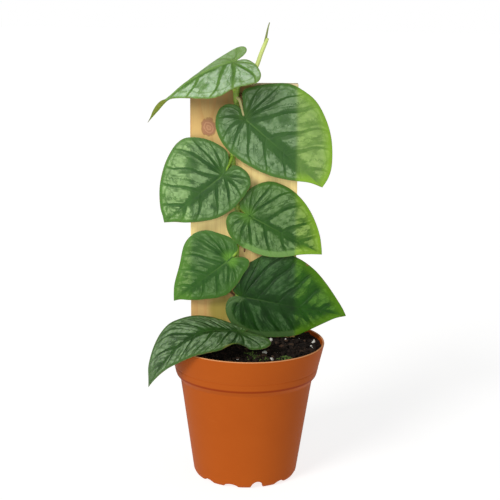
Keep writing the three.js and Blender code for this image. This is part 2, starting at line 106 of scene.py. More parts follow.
# Smooth lines of x, y, z and radius, and the aerial roots as x, y, z
STEM_LINE = [
    (-2.5, 5.0, 84, 1.8), (-2.8, 5.5, 93, 2.0), (-3.1, 5.6, 101, 2.2), (-4.6, 5.6, 112, 1.8),
    (-6.5, 5.6, 124.5, 2.3), (-7.2, 5.6, 136, 1.8), (-8.3, 5.6, 150, 1.8), (-8.6, 5.6, 160, 2.3),
    (-8.4, 5.6, 173, 1.8), (-7.6, 5.6, 190, 2.3), (-9.4, 5.6, 205, 1.8), (-11.8, 5.6, 222.5, 2.3),
    (-11.8, 5.6, 234, 1.8), (-10.4, 5.6, 249.5, 2.3), (-9.3, 5.6, 261, 1.8), (-9.8, 5.6, 272, 2.3),
    (-8.8, 5.2, 276.5, 1.8), (-7.0, 4.9, 279.2, 1.6),
]
ROOTS = [
    [(-11.8, 5.6, 225), (-14.6, 6.4, 226.5), (-17.2, 6.9, 224.4), (-18.4, 6.9, 221.2)],
    [(-7.6, 5.6, 192), (-4.4, 6.6, 193.4), (-1.2, 6.9, 191.6), (1.4, 6.9, 187.4)],
    [(-8.6, 5.6, 162.6), (-5.6, 6.0, 165.0), (-2.8, 5.8, 163.6), (-2.6, 5.4, 160.2)],
    [(-6.5, 5.6, 127), (-10.4, 6.4, 129.5), (-14.6, 6.9, 131.8), (-18.0, 6.9, 130.2)],
    [(-9.8, 5.6, 270), (-5.6, 6.4, 270.8), (-1.6, 6.9, 267.6), (0.2, 6.9, 263.4)],
    [(-3.1, 5.6, 104), (0.4, 6.2, 104.6), (3.2, 6.6, 103), (4.8, 6.4, 100.6)],
]
ROOT_RADII = (0.9, 0.75, 0.65, 0.5)
SHEATH_LINE = [
    (-6.7, 4.86, 279.65, 1.6), (-5.4, 4.7, 281.4, 1.75), (-2.2, 4.5, 283.2, 1.75),
    (1.0, 4.4, 285.6, 1.65), (4.3, 4.1, 291.6, 1.5), (6.5, 4.0, 298.2, 1.42), (9.0, 4.0, 304.6, 1.4),
    (11.0, 4.0, 309.4, 1.15),
]
SPEAR_LINE = [
    (9.0, 4.0, 305.4, 0.9), (10.0, 4.0, 310.0, 0.8), (10.8, 4.0, 314.4, 0.6), (11.5, 4.0, 317.6, 0.42),
    (12.2, 4.0, 319.9, 0.32),
]

# Colours on screen
COLOURS = dict(
    heart=(112, 166, 58), dry_blade=(124, 138, 50), dry_end=(120, 112, 100), dry_rim=(126, 84, 58),
    worn=(118, 88, 48), back=(84, 118, 58), back_vein=(122, 146, 84), back_rib=(140, 160, 92),
    stem_deep=(132, 176, 54), stem_pale=(174, 202, 88), stem_ring=(120, 118, 62),
    root_deep=(64, 42, 26), root_pale=(138, 98, 62),
    sheath_deep=(176, 196, 96), sheath_pale=(206, 216, 140), spear=(128, 140, 78),
    # the dark red at the end of the next line is painted shade under the pot's band
    pot_deep=(158, 73, 19), pot_pale=(170, 83, 25), scuff=(196, 116, 62), band_shade=(124, 36, 6),
    # a painted highlight on the pot's lip
    lip_highlight=(222, 160, 110),
    # the last colour on the next line is painted light on the wood between the leaves
    wood_deep=(200, 159, 88), wood_pale=(214, 180, 113), painted_light_wood=(255, 230, 152),
    # the first colour on the next line is painted shade under the top leaf, and the last a painted highlight
    # on the board's top edge
    painted_shadow_wood=(140, 108, 60), late_wood=(198, 140, 76), fibre=(188, 138, 84), top_edge_highlight=(246, 228, 180),
    # the last colour on the next line is painted green light from the leaves
    knot_deep=(168, 116, 80), knot_pale=(190, 140, 100), knot_rim=(140, 88, 52), green_light=(150, 142, 44),
    soil_deep=(20, 15, 12), soil_pale=(52, 40, 32), grit=(92, 70, 52),
    bark_deep=(34, 24, 17), bark_pale=(84, 58, 38),
    perlite_deep=(176, 176, 168), perlite_pale=(228, 228, 220),
    moss_deep=(48, 72, 24), moss_pale=(104, 130, 56),
)

# Leaf shapes, as in the solids: origin, yaw, pitch and turn place the blade, and hub is where its veins meet.
# plus and minus are its outline on the two sides of the midrib, sides 0 and 1. petiole is x, y, z, radius.
# near, far and far_twist slope the sides, and the cups hollow them. arch, droop, power and back bend the
# blade along its length, and curl lifts part of side 0: middle, half width, where it starts and ends, rise.
# Leaf marks:
# - laterals is the number of side veins on a side, and band the half width of the dark band round each.
# - dark is the half width of the dark zone along the midrib, and taper the share left of it near the tip.
# - silver is the strength of the pale patches, thin their least share, streaks how fine their streaks are,
#   gaps how much the streaks take away, and margin the width of the rim without patches.
# - spots are dark places in the patches: side, x, y, size. nick is the x and y of a worn place in the rim.
# - hem is a strip along the rim in hem_colour: side, start and stop along the blade, width.
# - heart is the strength of light green round the petiole, and dry_tip is where the dry tip starts.
# - glow tints the blade beside the board, where light comes through it, haze evens out the marks there, and
#   rim_glow is its rim's colour there. far_colour tints side 1 of a folded blade.
# - stalk and stalk_light colour the petiole, deep, green and edge the green parts up to the rim, rib the
#   midrib, and pale and bright the patches.
LEAF_DEFAULTS = dict(
    hub=(3, 0), near=0, far=0, far_twist=0, near_cup=0, far_cup=0, arch=0, droop=4, power=2,
    taper=0.4, spots=(), haze=0.0, stalk=(104, 148, 38), stalk_light=(148, 180, 66),
)
LEAVES = {}
LEAVES["leaf_1"] = dict(
    origin=(-10.1, -2, 294.1), yaw=-28, pitch=62, turn=223.7, length=69.6,
    near=-0.25, far=-0.33, far_twist=-0.62, arch=1.8, droop=22, power=2.2, back=0,
    plus=[
        (-3, 0.3), (-7, 2.6), (-9.7, 7.4), (-11, 13), (-10, 21.5), (-6, 26), (0, 26), (7, 25), (14, 25.5),
        (21.5, 26.5), (28, 24), (34, 19), (40, 13), (46, 6.5), (50.5, 2.2), (54, 0.8), (60, 1.3),
        (65.5, 0.7),
    ],
    minus=[
        (-3, -2), (-8, -7), (-12, -15), (-12.5, -24), (-9.5, -30), (-2, -32.5), (8, -31), (18, -27),
        (28, -22), (37, -16), (44, -9.5), (49.5, -4), (52.8, -2.8), (56, -5.2), (59.5, -6), (63.5, -4.4),
        (66.8, -1.4),
    ],
    petiole=[
        (-9.8, 5.6, 272, 1.5), (-13.2, 3.2, 279, 1.4), (-13.0, 0.4, 287, 1.3), (-11.2, -1.6, 292.2, 1.2),
    ],
    laterals=7, band=0.95, dark=2.0, silver=0.95, thin=0.7, streaks=2.4, gaps=0.44, margin=1.0,
    spots=[(0, 27.4, 12.5, 3.2)], dry_tip=0.74, glow=(1, 1, 1), far_colour=(146, 190, 96),
    stalk=(150, 192, 66), deep=(80, 120, 52), green=(100, 140, 66), edge=(126, 158, 84),
    rib=(130, 160, 96), pale=(158, 188, 148), bright=(184, 208, 176),
)
LEAVES["leaf_2"] = dict(
    origin=(-4.4, -1, 257.5), yaw=3, pitch=5, turn=-42, length=74.2, hub=(2.5, -1.5),
    near_cup=2, far_cup=2, back=25,
    plus=[
        (-2.3, 1.9), (-6, 5.5), (-10, 9.2), (-11.5, 12.5), (-8, 19), (-1, 28), (9, 37), (22, 40.5),
        (31.5, 40.5), (44.5, 36), (56.5, 28.5), (69.5, 14.5), (73, 7),
    ],
    minus=[
        (-2.5, 1), (-6, 2), (-9.5, 1), (-13.5, -2.5), (-15, -8), (-12, -15.5), (-5.5, -21), (4, -24.5),
        (15, -25), (27, -23), (41.5, -18.5), (54, -11.5), (65.5, -3.5),
    ],
    petiole=[
        (-9.6, 5.6, 269, 1.4), (-7.6, 2.6, 267.6, 1.2), (-6.2, 0.6, 263.4, 0.95),
        (-5.2, -0.4, 259.4, 0.9),
    ],
    laterals=9, band=0.7, dark=3.8, taper=0.85, silver=0.84, thin=0.45, streaks=3.2, gaps=0.44,
    margin=2.0, spots=[(0, 13, 9, 3.6), (0, 22.2, 16.7, 4.6)], glow=(1.6, 1.5, 0.9), haze=0.4,
    rim_glow=(138, 178, 40),
    stalk=(190, 182, 118), stalk_light=(214, 206, 150), deep=(50, 86, 40), green=(60, 98, 44),
    edge=(86, 128, 52), rib=(98, 136, 66), pale=(118, 148, 104), bright=(136, 164, 122),
)
LEAVES["leaf_3"] = dict(
    origin=(-16.4, -0.8, 218.3), yaw=-3, pitch=7, turn=220.8, length=56.1, hub=(3, 1),
    near_cup=2, far_cup=2, back=15,
    plus=[
        (-3, 0), (-7, 0), (-9.8, 4), (-11, 11), (-8, 17.5), (0, 21), (11.5, 23), (22.5, 22), (34.5, 16.5),
        (44.5, 9.5), (50, 4.5),
    ],
    minus=[
        (-2.5, -1.8), (-5.5, -3.5), (-9, -8), (-9.5, -12), (-6, -22), (-2, -28), (3, -33), (8, -36),
        (14.5, -36.5), (23, -34), (31, -30), (42.5, -21), (51.5, -9.5), (54, -4),
    ],
    petiole=[(-11.9, 5.6, 228.5, 1.6), (-12.9, 3.0, 226, 1.5), (-14.9, 1.0, 221.8, 1.3)],
    laterals=8, band=0.7, dark=3.4, taper=0.1, silver=0.9, thin=0.5, streaks=3.0, gaps=0.45, margin=2.0,
    spots=[(1, 15, -18.5, 5)], glow=(1.5, 1.42, 1.35),
    deep=(40, 76, 32), green=(54, 92, 38), edge=(80, 122, 50), rib=(98, 136, 66), pale=(108, 140, 90),
    bright=(132, 164, 112),
)
LEAVES["leaf_4"] = dict(
    origin=(-1.9, -0.3, 188.6), yaw=4, pitch=6, turn=-28.1, length=61.2,
    near_cup=2.5, far_cup=2.5, back=15,
    plus=[
        (-3.5, 1), (-6, 2), (-8, 5.5), (-7.4, 12), (-4, 20), (3.5, 27.5), (14, 30), (26, 28.7), (39, 23),
        (52, 12.5), (59, 3.5),
    ],
    minus=[
        (-3.5, -0.7), (-7, -1.4), (-10.2, -5), (-10, -10.5), (-5, -17), (0.5, -20), (7, -21.7),
        (15, -21.4), (22.5, -20.6), (29.5, -18.5), (37.5, -14.5), (47.5, -7.3), (53.5, -3.8),
    ],
    petiole=[(-7.6, 5.6, 192, 1.5), (-5.4, 3.4, 192.2, 1.4), (-3.2, 1.5, 190.4, 1.3)],
    laterals=8, band=0.85, dark=2.4, silver=0.85, thin=0.5, streaks=3.2, gaps=0.46, margin=2.2,
    hem=(1, 0.08, 0.8, 4.0), hem_colour=(116, 156, 84), heart=0.25, glow=(1.6, 1.42, 0.92),
    rim_glow=(138, 176, 44),
    deep=(36, 74, 24), green=(50, 90, 30), edge=(82, 126, 46), rib=(92, 130, 58), pale=(100, 134, 78),
    bright=(124, 156, 102),
)
LEAVES["leaf_5"] = dict(
    origin=(-10.9, -0.5, 157.5), yaw=-3, pitch=6, turn=218.2, length=52.4,
    near_cup=2.5, far_cup=2.5, back=15,
    plus=[
        (-2.5, 1.5), (-6, 4), (-8, 8), (-6, 11.5), (0, 13.5), (7, 16.5), (15, 18.3), (21, 18.3),
        (30.5, 14), (42.5, 6.5), (48, 2),
    ],
    minus=[
        (-3, -1), (-6.5, -2.5), (-8.5, -7), (-7, -12.5), (-3.5, -18), (3, -26), (9, -29), (15.5, -29.5),
        (22, -27.5), (33.5, -18), (45, -9), (49, -4.5),
    ],
    petiole=[(-8.5, 5.6, 166.5, 1.6), (-7.8, 3.0, 164.6, 1.6), (-8.8, 1.0, 160.6, 1.4)],
    laterals=8, band=0.8, dark=2.6, silver=0.6, thin=0.4, streaks=4.4, gaps=0.49, margin=2.4, heart=0.6,
    glow=(1.6, 1.42, 1.3),
    deep=(35, 76, 23), green=(50, 93, 31), edge=(76, 122, 44), rib=(92, 132, 58), pale=(94, 130, 74),
    bright=(116, 150, 94),
)
LEAVES["leaf_6"] = dict(
    origin=(-6.3, -0.7, 129.8), yaw=2, pitch=5, turn=-10.7, length=78,
    near_cup=1.5, far_cup=2, back=20,
    plus=[
        (-3, 1.5), (-5.6, 4.2), (-6.6, 8.4), (-6, 15), (-2, 21), (4.5, 26), (13, 32.5), (25.5, 35.6),
        (37.5, 33.8), (48.5, 28.7), (57, 22.4), (69, 10.8), (75, 4.2),
    ],
    minus=[
        (-3, -0.5), (-6, -2.5), (-7.5, -7), (-7, -11.5), (-4.5, -16.5), (0, -21), (10.5, -25.5),
        (18, -26.2), (26.5, -25.3), (45, -20.5), (51.5, -16.5), (64, -7.5), (71, -2.8),
    ],
    petiole=[(-6.5, 5.6, 124.5, 1.5), (-6.8, 3.0, 126.8, 1.4), (-6.4, 1.2, 129, 1.3)],
    laterals=9, band=1.3, dark=4.2, silver=0.5, thin=0.15, streaks=3.2, gaps=0.5, margin=2.6,
    nick=(43.6, 31.4), hem=(1, -0.1, 0.66, 4.2), hem_colour=(76, 108, 58), glow=(1.5, 1.55, 0.55),
    rim_glow=(88, 132, 8),
    deep=(16, 50, 8), green=(25, 65, 13), edge=(44, 86, 18), rib=(70, 104, 48), pale=(66, 106, 56),
    bright=(94, 132, 82),
)
LEAVES["leaf_7"] = dict(
    origin=(-3.7, -18, 108.5), yaw=10, pitch=76, turn=185.5, length=64.9,
    near=-0.04, far=0.03, arch=4.9, droop=38, power=3.2, back=0, curl=(9, 11, 17, 23.5, 4),
    plus=[
        (-3.5, 0.8), (-9, 4.8), (-15, 9.6), (-17, 14.5), (-15, 20), (-8.5, 23.5), (0, 23), (8, 23),
        (16, 23), (24, 25.5), (32, 24.2), (40, 20.5), (48, 15.5), (55, 8.5), (61, 3),
    ],
    minus=[
        (-3, -0.5), (-5, -2.5), (-3, -6), (2, -9.5), (8, -13), (14.5, -16.7), (22, -20.2), (30, -24),
        (37.7, -27.3), (44.7, -30.8), (50.3, -31.4), (55, -28.4), (58.7, -23.6), (61.8, -17),
        (63.6, -7.2),
    ],
    petiole=[
        (-3.1, 5.6, 101, 1.5), (-6.2, 0.6, 101.6, 1.4), (-6.6, -8, 104.4, 1.3), (-4.6, -15.6, 107.2, 1.2),
    ],
    laterals=10, band=0.45, dark=2.5, silver=0.85, thin=0.4, streaks=4.4, gaps=0.47, margin=1.8,
    hem=(0, 0.02, 0.28, 2.2), hem_colour=(132, 136, 58), glow=(1, 1, 1),
    deep=(34, 64, 24), green=(50, 86, 34), edge=(84, 120, 58), rib=(88, 120, 66), pale=(114, 144, 100),
    bright=(150, 176, 136),
)
# What every point of a leaf carries for its paint
VALUES = ("lateral", "reach", "across", "rib", "rim", "under", "along", "stalk", "open", "side")
FAN_ROWS = 46
BLADE_ROWS = 96
BLADE_STEPS = 40
# The flat place of a blade's second half is moved aside by this much, so the halves don't share their noise
HALF_SHIFT = 40
PETIOLE_RINGS = 40
PETIOLE_SIDES = 16
CURVE_STEPS = 24


# Small helpers

def srgb(r, g, b):
    """Linear colour from screen values of 0 to 255."""
    def line(v):
        v /= 255
        return v / 12.92 if v <= 0.04045 else ((v + 0.055) / 1.055) ** 2.4
    return (line(r), line(g), line(b), 1.0)


def smoothstep(x, low, high):
    t = np.clip((x - low) / (high - low), 0, 1)
    return t * t * (3 - 2 * t)


def between(p, q, a, b, t):
    """The point at t on the line from p at a to q at b."""
    return (b - t) / (b - a) * p + (t - a) / (b - a) * q


def catmull(points, per_segment=CURVE_STEPS):
    """A centripetal curve through the points."""
    p = np.array(points, float)
    ext = np.vstack([2 * p[0] - p[1], p, 2 * p[-1] - p[-2]])
    out = []
    for i in range(len(p) - 1):
        p0, p1, p2, p3 = ext[i:i + 4]
        t1 = np.linalg.norm(p1 - p0) ** 0.5
        t2 = t1 + np.linalg.norm(p2 - p1) ** 0.5
        t3 = t2 + np.linalg.norm(p3 - p2) ** 0.5
        t = np.linspace(t1, t2, per_segment, endpoint=False)[:, None]
        middle = between(p1, p2, t1, t2, t)
        before = between(between(p0, p1, 0, t1, t), middle, 0, t2, t)
        after = between(middle, between(p2, p3, t2, t3, t), t1, t3, t)
        out.append(between(before, after, t1, t2, t))
    out.append(p[-1][None])
    return np.vstack(out)


def lengths(line):
    return np.r_[0, np.cumsum(np.linalg.norm(np.diff(line, axis=0), axis=1))]


def sample(line, keys, at):
    return np.stack([np.interp(at, keys, line[:, k]) for k in range(line.shape[1])], axis=-1)


def grid_quads(index):
    """Quads between the neighbours in a grid of point numbers."""
    quads = [index[:-1, :-1], index[1:, :-1], index[1:, 1:], index[:-1, 1:]]
    return np.stack(quads, axis=-1).reshape(-1, 4)


def closed_body(rings, ends):
    """Points and quads of a body of rings that is closed by a point at either end."""
    count, sides = rings.shape[:2]
    index = np.arange(count * sides).reshape(count, sides)
    ahead = np.roll(index, -1, axis=1)
    quads = np.stack([index[:-1], ahead[:-1], ahead[1:], index[1:]], axis=-1).reshape(-1, 4)
    first, last = (np.full(sides, count * sides + end) for end in (0, 1))
    # triangles are written as quads whose last corner repeats
    bottom = np.stack([ahead[0], index[0], first, first], axis=-1)
    top = np.stack([index[-1], ahead[-1], last, last], axis=-1)
    return np.vstack([rings.reshape(-1, 3), ends]), np.vstack([quads, bottom, top])


def joined(bodies):
    """Points and faces of several bodies as one mesh."""
    starts = np.cumsum([0] + [len(points) for points, _ in bodies[:-1]])
    faces = [corners + start for (_, corners), start in zip(bodies, starts)]
    return np.vstack([points for points, _ in bodies]), np.vstack(faces)


def new_object(name, data):
    obj = bpy.data.objects.new(name, data)
    bpy.context.scene.collection.objects.link(obj)
    return obj


def add_mesh(name, points, faces, material, attributes=None, blend_normals=True):
    """A mesh object from points in millimetres. Corners that meet share one normal."""
    mesh = bpy.data.meshes.new(name)
    points = np.asarray(points, float)
    corners = [f[:3] if len(f) == 4 and f[2] == f[3] else f for f in np.asarray(faces).tolist()]
    mesh.from_pydata((points * MM).tolist(), [], corners)
    mesh.polygons.foreach_set("use_smooth", [True] * len(mesh.polygons))
    for key, values in (attributes or {}).items():
        values = np.asarray(values, float)
        kind = "FLOAT_VECTOR" if values.ndim == 2 else "FLOAT"
        layer = mesh.attributes.new(key, kind, "POINT")
        layer.data.foreach_set("vector" if values.ndim == 2 else "value", values.ravel())
    if blend_normals:
        mesh.normals_split_custom_set_from_vertices(shared_normals(points, mesh).tolist())
    mesh.materials.append(material)
    return new_object(name, mesh)


def read(items, key, kind, width=1):
    values = np.zeros(len(items) * width, kind)
    items.foreach_get(key, values)
    return values


def shared_normals(points, mesh):
    """Normals averaged over all corners at the same place."""
    group = np.unique(np.round(points, 4), axis=0, return_inverse=True)[1].ravel()
    areas = read(mesh.polygons, "area", float)
    weighted = read(mesh.polygons, "normal", float, 3).reshape(-1, 3) * areas[:, None]
    owner = np.repeat(np.arange(len(areas)), read(mesh.polygons, "loop_total", int))
    sums = np.zeros((group.max() + 1, 3))
    np.add.at(sums, group[read(mesh.loops, "vertex_index", int)], weighted[owner])
    size = np.linalg.norm(sums, axis=1, keepdims=True)
    return (sums / np.maximum(size, 1e-12))[group]


# Materials

class Value:
    """What a node puts out. Arithmetic with it makes math nodes."""

    def __init__(self, nodes, socket):
        self.nodes = nodes
        self.socket = socket

    def __add__(self, other):
        return self.nodes.math("ADD", self, other)

    def __sub__(self, other):
        return self.nodes.math("SUBTRACT", self, other)

    def __rsub__(self, other):
        return self.nodes.math("SUBTRACT", other, self)

    def __mul__(self, other):
        return self.nodes.math("MULTIPLY", self, other)

    def __pow__(self, other):
        return self.nodes.math("POWER", self, other)

    def __abs__(self):
        return self.nodes.math("ABSOLUTE", self)

    __radd__ = __add__
    __rmul__ = __mul__


class Nodes:
    """Builds a material's node tree from short calls."""

    def __init__(self, name):
        self.material = bpy.data.materials.new(name)
        self.material.use_nodes = True
        self.tree = self.material.node_tree
        self.shader = self.tree.nodes["Principled BSDF"]

    def node(self, kind, inputs, output=0, **settings):
        """The output of a new node whose inputs, by number or name, are fed."""
        node = self.tree.nodes.new(kind)
        for key, value in settings.items():
            setattr(node, key, value)
        for key, value in inputs.items():
            self.feed(node.inputs[key], value)
        return Value(self, node.outputs[output])

    def feed(self, socket, value):
        """Links a node's value, or sets a number, vector, colour or colour's name."""
        if isinstance(value, Value):
            self.tree.links.new(value.socket, socket)
        else:
            socket.default_value = srgb(*COLOURS[value]) if isinstance(value, str) else value

    def math(self, operation, *values):
        return self.node("ShaderNodeMath", dict(enumerate(values)), operation=operation)

    def fraction(self, value):
        return self.math("FRACT", value)

    def to_end(self, fraction):
        """Distance of a fraction to the nearer of 0 and 1."""
        return self.math("MINIMUM", fraction, 1.0 - fraction)

    def attribute(self, name, output="Fac"):
        return self.node("ShaderNodeAttribute", {}, output, attribute_name=name)

    def place(self):
        return self.node("ShaderNodeTexCoord", {}, "Object")

    def split(self, vector):
        return [self.node("ShaderNodeSeparateXYZ", {0: vector}, axis) for axis in range(3)]

    def distance(self, a, b):
        return self.node("ShaderNodeVectorMath", {0: a, 1: b}, "Value", operation="DISTANCE")

    def stretch(self, vector, scale):
        return self.node("ShaderNodeVectorMath", {0: vector, 1: scale}, "Vector", operation="MULTIPLY")

    def noise(self, vector, scale, detail=3.0, roughness=0.55):
        inputs = {"Vector": vector, "Scale": scale, "Detail": detail, "Roughness": roughness}
        return self.node("ShaderNodeTexNoise", inputs, "Fac")

    def ripple(self, vector, scale, detail=3.0, roughness=0.55):
        """Noise round 0."""
        return self.noise(vector, scale, detail, roughness) - 0.5

    def step(self, value, low, high, to_low=0.0, to_high=1.0):
        """A soft step from low to high."""
        inputs = dict(enumerate((value, low, high, to_low, to_high)))
        return self.node("ShaderNodeMapRange", inputs, interpolation_type="SMOOTHSTEP")

    def fall(self, value, low, high, top=1.0):
        """A soft step down to 0."""
        return self.step(value, low, high, top, 0.0)

    def mix(self, amount, a, b, blend="MIX"):
        inputs = {"Factor": amount, 6: a, 7: b}
        return self.node("ShaderNodeMix", inputs, 2, data_type="RGBA", blend_type=blend)

    def bump(self, height, strength, distance):
        inputs = {"Height": height, "Strength": strength, "Distance": distance * MM}
        return self.node("ShaderNodeBump", inputs)

    def finish(self, **inputs):
        for key, value in inputs.items():
            self.feed(self.shader.inputs[key.replace("_", " ")], value)
        return self.material


def leaf_fields(n, leaf):
    """What the points of a leaf carry, and noise and small veins that follow from it."""
    f = SimpleNamespace(**{key: n.attribute(key) for key in VALUES})
    f.sides = (1.0 - f.side, f.side)
    f.blade = n.attribute("blade", "Vector")
    f.ragged = n.ripple(f.blade, 0.45, 3, 0.6)
    f.fine = n.ripple(f.blade, 1.4, 3, 0.65)
    f.cell = n.fraction(f.lateral)
    f.shift = n.fraction(n.math("FLOOR", f.lateral) * 0.618)
    f.side_vein = n.to_end(f.cell) * f.reach
    f.by_rim = n.fall(f.rim + f.ragged * 3.0, 0.5, 8.0)
    # streaks run with the side veins, and small veins branch off them
    flow = n.node("ShaderNodeCombineXYZ", {0: f.lateral * leaf["streaks"], 1: f.across * 2.2})
    f.streak = n.noise(flow, 1.0, 2, 0.5)
    saw = n.fraction(f.across * 2.3 + f.cell * 1.5 + (f.shift + f.ragged * 0.8))
    f.branch = n.to_end(saw) * 9.0 + f.fine * 0.7
    return f


def silver_patches(n, leaf, f):
    """Share of the pale layer, which lies between the veins."""
    # the dark band round a side vein narrows towards the rim
    band = (1.0 - f.across) ** 2.0 * (leaf["dark"] * 0.5) + leaf["band"]
    torn = f.ragged * 1.7 + f.fine * 0.6
    patch = n.step(f.side_vein + torn - band, -0.35, 0.55)
    # the dark zone along the midrib
    zone = (n.math("SINE", f.along * (0.9 * math.pi)) + 0.5) * leaf["dark"]
    zone = zone * n.step(f.along, 0.38, 0.72, 1.0, leaf["taper"])
    patch = patch * n.step(f.rib + f.ragged * 6.0 - zone, -0.6, 1.6)
    for side, x, y, size in leaf["spots"]:
        away = n.distance(f.blade, (x, y + HALF_SHIFT * side, 0)) + f.ragged * 6.0
        patch = patch * (1.0 - n.fall(away, size * 0.5, size * 1.5, 0.8) * f.sides[side])
    patch = patch * n.step(f.streak, leaf["gaps"] - 0.08, leaf["gaps"] + 0.05, 0.2, 1.0)
    # a finer vein runs down the middle of each patch
    middle = abs(f.cell - 0.5 + (f.ragged * 0.5 + (f.shift - 0.5) * 0.3))
    patch = patch * n.step(middle * f.reach + f.fine * 0.3, 0.1, 0.6, 0.3, 1.0)
    branch_depth = n.step(f.across, 0.15, 0.65, 0.9, 0.45)
    patch = patch * n.math("MAXIMUM", n.step(f.branch, 0.1, 1.0), branch_depth)
    # an arched vein inside the rim gathers the side veins
    arch = n.math("SINE", f.cell * math.pi) * 2.2
    patch = patch * n.step(abs(f.rim - 6.0 + (arch + f.ragged * 2.0)), 0.15, 0.9, 0.45, 1.0)
    patch = patch * n.step(f.rim + f.ragged * 2.4, leaf["margin"] - 0.6, leaf["margin"] + 0.9)
    # mottling: the pale layer is thin in places
    return patch * n.step(n.noise(f.blade, 0.09, 3), 0.25, 0.6, leaf["thin"], 1.0)


def blade_colour(n, leaf, f, patch):
    """Colour of the upper face, without its outermost rim."""
    own = {key: srgb(*leaf[key]) for key in ("deep", "green", "edge", "rib", "pale", "bright")}
    mottled = n.noise(f.blade, 0.12, 3) + f.fine * 0.3
    base = n.mix(n.step(mottled, 0.3, 0.7), own["deep"], own["green"])
    base = n.mix(f.by_rim * 0.55, base, own["edge"])
    silver = n.mix(n.step(n.noise(f.blade, 0.35, 3), 0.3, 0.7), own["pale"], own["bright"])
    colour = n.mix(patch * leaf["silver"], base, silver)
    if "far_colour" in leaf:
        colour = n.mix(f.side * 0.55, colour, srgb(*leaf["far_colour"]))
    if "hem" in leaf:
        side, start, stop, width = leaf["hem"]
        part = n.step(f.along, start, start + 0.06) * n.fall(f.along, stop - 0.1, stop)
        strip = n.fall(f.rim + f.ragged * 1.5, width * 0.8, width * 1.2) * part
        colour = n.mix(strip * f.sides[side] * 0.8, colour, srgb(*leaf["hem_colour"]))
    if "heart" in leaf:
        heart = n.fall(f.rib, 2.0, 9.0) * n.fall(f.along, 0.0, 0.08)
        colour = n.mix(heart * leaf["heart"], colour, "heart")
    rib_line = n.fall(f.rib + f.fine * 0.3, 0.1, 0.75) * n.step(f.along, 0.0, 0.5, 0.5, 0.04)
    colour = n.mix(rib_line, colour, own["rib"])
    vein_line = n.fall(f.side_vein, 0.0, 0.45, 0.35) * n.step(f.across, 0.05, 0.5, 1.0, 0.2)
    colour = n.mix(vein_line, colour, own["deep"])
    if "dry_tip" in leaf:
        start = leaf["dry_tip"]
        colour = n.mix(n.step(f.along, start, start + 0.03), colour, "dry_blade")
        colour = n.mix(n.step(f.along, 0.95, 0.975), colour, "dry_end")
    # light comes through the blade where no board stands behind it
    hazy = n.mix(leaf["haze"], colour, n.mix(0.5, base, silver))
    colour = n.mix(f.open, colour, n.mix(1.0, hazy, (*leaf["glow"], 1.0), "MULTIPLY"))
    if "rim_glow" in leaf:
        near = f.by_rim * f.open * n.step(f.along, 0.3, 0.9, 0.3, 0.62)
        colour = n.mix(near, colour, srgb(*leaf["rim_glow"]))
    return colour


def leaf_material(name, leaf):
    n = Nodes(name)
    f = leaf_fields(n, leaf)
    patch = silver_patches(n, leaf, f)
    colour = blade_colour(n, leaf, f, patch)
    dry = n.step(n.noise(f.blade, 0.25, 2), 0.45, 0.6)
    rim_colour = n.mix(dry, srgb(*leaf["edge"]), "dry_rim")
    colour = n.mix(n.fall(f.rim + f.fine * 0.4, 0.05, 0.55, 0.7), colour, rim_colour)
    if "nick" in leaf:
        away = n.distance(f.blade, (*leaf["nick"], 0)) + f.fine * 1.2
        colour = n.mix(n.fall(away, 0.9, 1.9, 0.85) * f.sides[0], colour, "worn")
    back = n.mix(n.step(f.side_vein, 0.2, 0.9), "back_vein", "back")
    back = n.mix(n.step(f.rib, 0.6, 1.3), "back_rib", back)
    colour = n.mix(f.under, colour, back)
    stalk = n.mix(n.noise(n.place(), 260, 3), srgb(*leaf["stalk"]), srgb(*leaf["stalk_light"]))
    stalk = n.mix(n.step(f.stalk, 1.2, 1.9), stalk, srgb(*leaf["green"]))
    colour = n.mix(f.stalk, colour, stalk)
    veins = n.step(f.side_vein, 0.0, 1.3) * 0.6 + n.step(f.branch, 0.0, 0.8) * 0.25
    relief = veins + (f.fine * 0.5 + f.streak * 0.8)
    return n.finish(
        Base_Color=colour, Roughness=patch * 0.1 + 0.36 + f.fine * 0.12, Normal=n.bump(relief, 0.7, 0.4),
        Specular_IOR_Level=0.16, Subsurface_Weight=0.15, Subsurface_Radius=(0.9, 1.4, 0.35),
        Subsurface_Scale=0.7 * MM)


def stem_material():
    n = Nodes("stem")
    place = n.place()
    dry = n.attribute("dry")
    blotch = n.noise(place, 120, 4, 0.6)
    green = n.mix(n.step(blotch, 0.35, 0.65), "stem_deep", "stem_pale")
    rings = n.noise(n.stretch(place, (0.3, 0.3, 4.0)), 300, 3)
    green = n.mix(n.step(rings, 0.45, 0.75, 0.0, 0.5), green, "stem_ring")
    brown = n.mix(n.noise(place, 500, 4), "root_deep", "root_pale")
    colour = n.mix(n.step(dry + (blotch - 0.5) * 0.8, 0.4, 0.6), green, brown)
    return n.finish(
        Base_Color=colour, Roughness=dry * 0.4 + 0.45, Normal=n.bump(rings, 0.5, 0.3),
        Subsurface_Weight=0.2, Subsurface_Scale=1.0 * MM)


def shoot_material():
    n = Nodes("shoot")
    streak = n.noise(n.stretch(n.place(), (1.0, 1.0, 0.1)), 500, 2)
    colour = n.mix(streak, "sheath_deep", "sheath_pale")
    colour = n.mix(n.attribute("tip"), colour, "spear")
    return n.finish(
        Base_Color=colour, Roughness=0.45, Normal=n.bump(streak, 0.4, 0.2), Specular_IOR_Level=0.2)


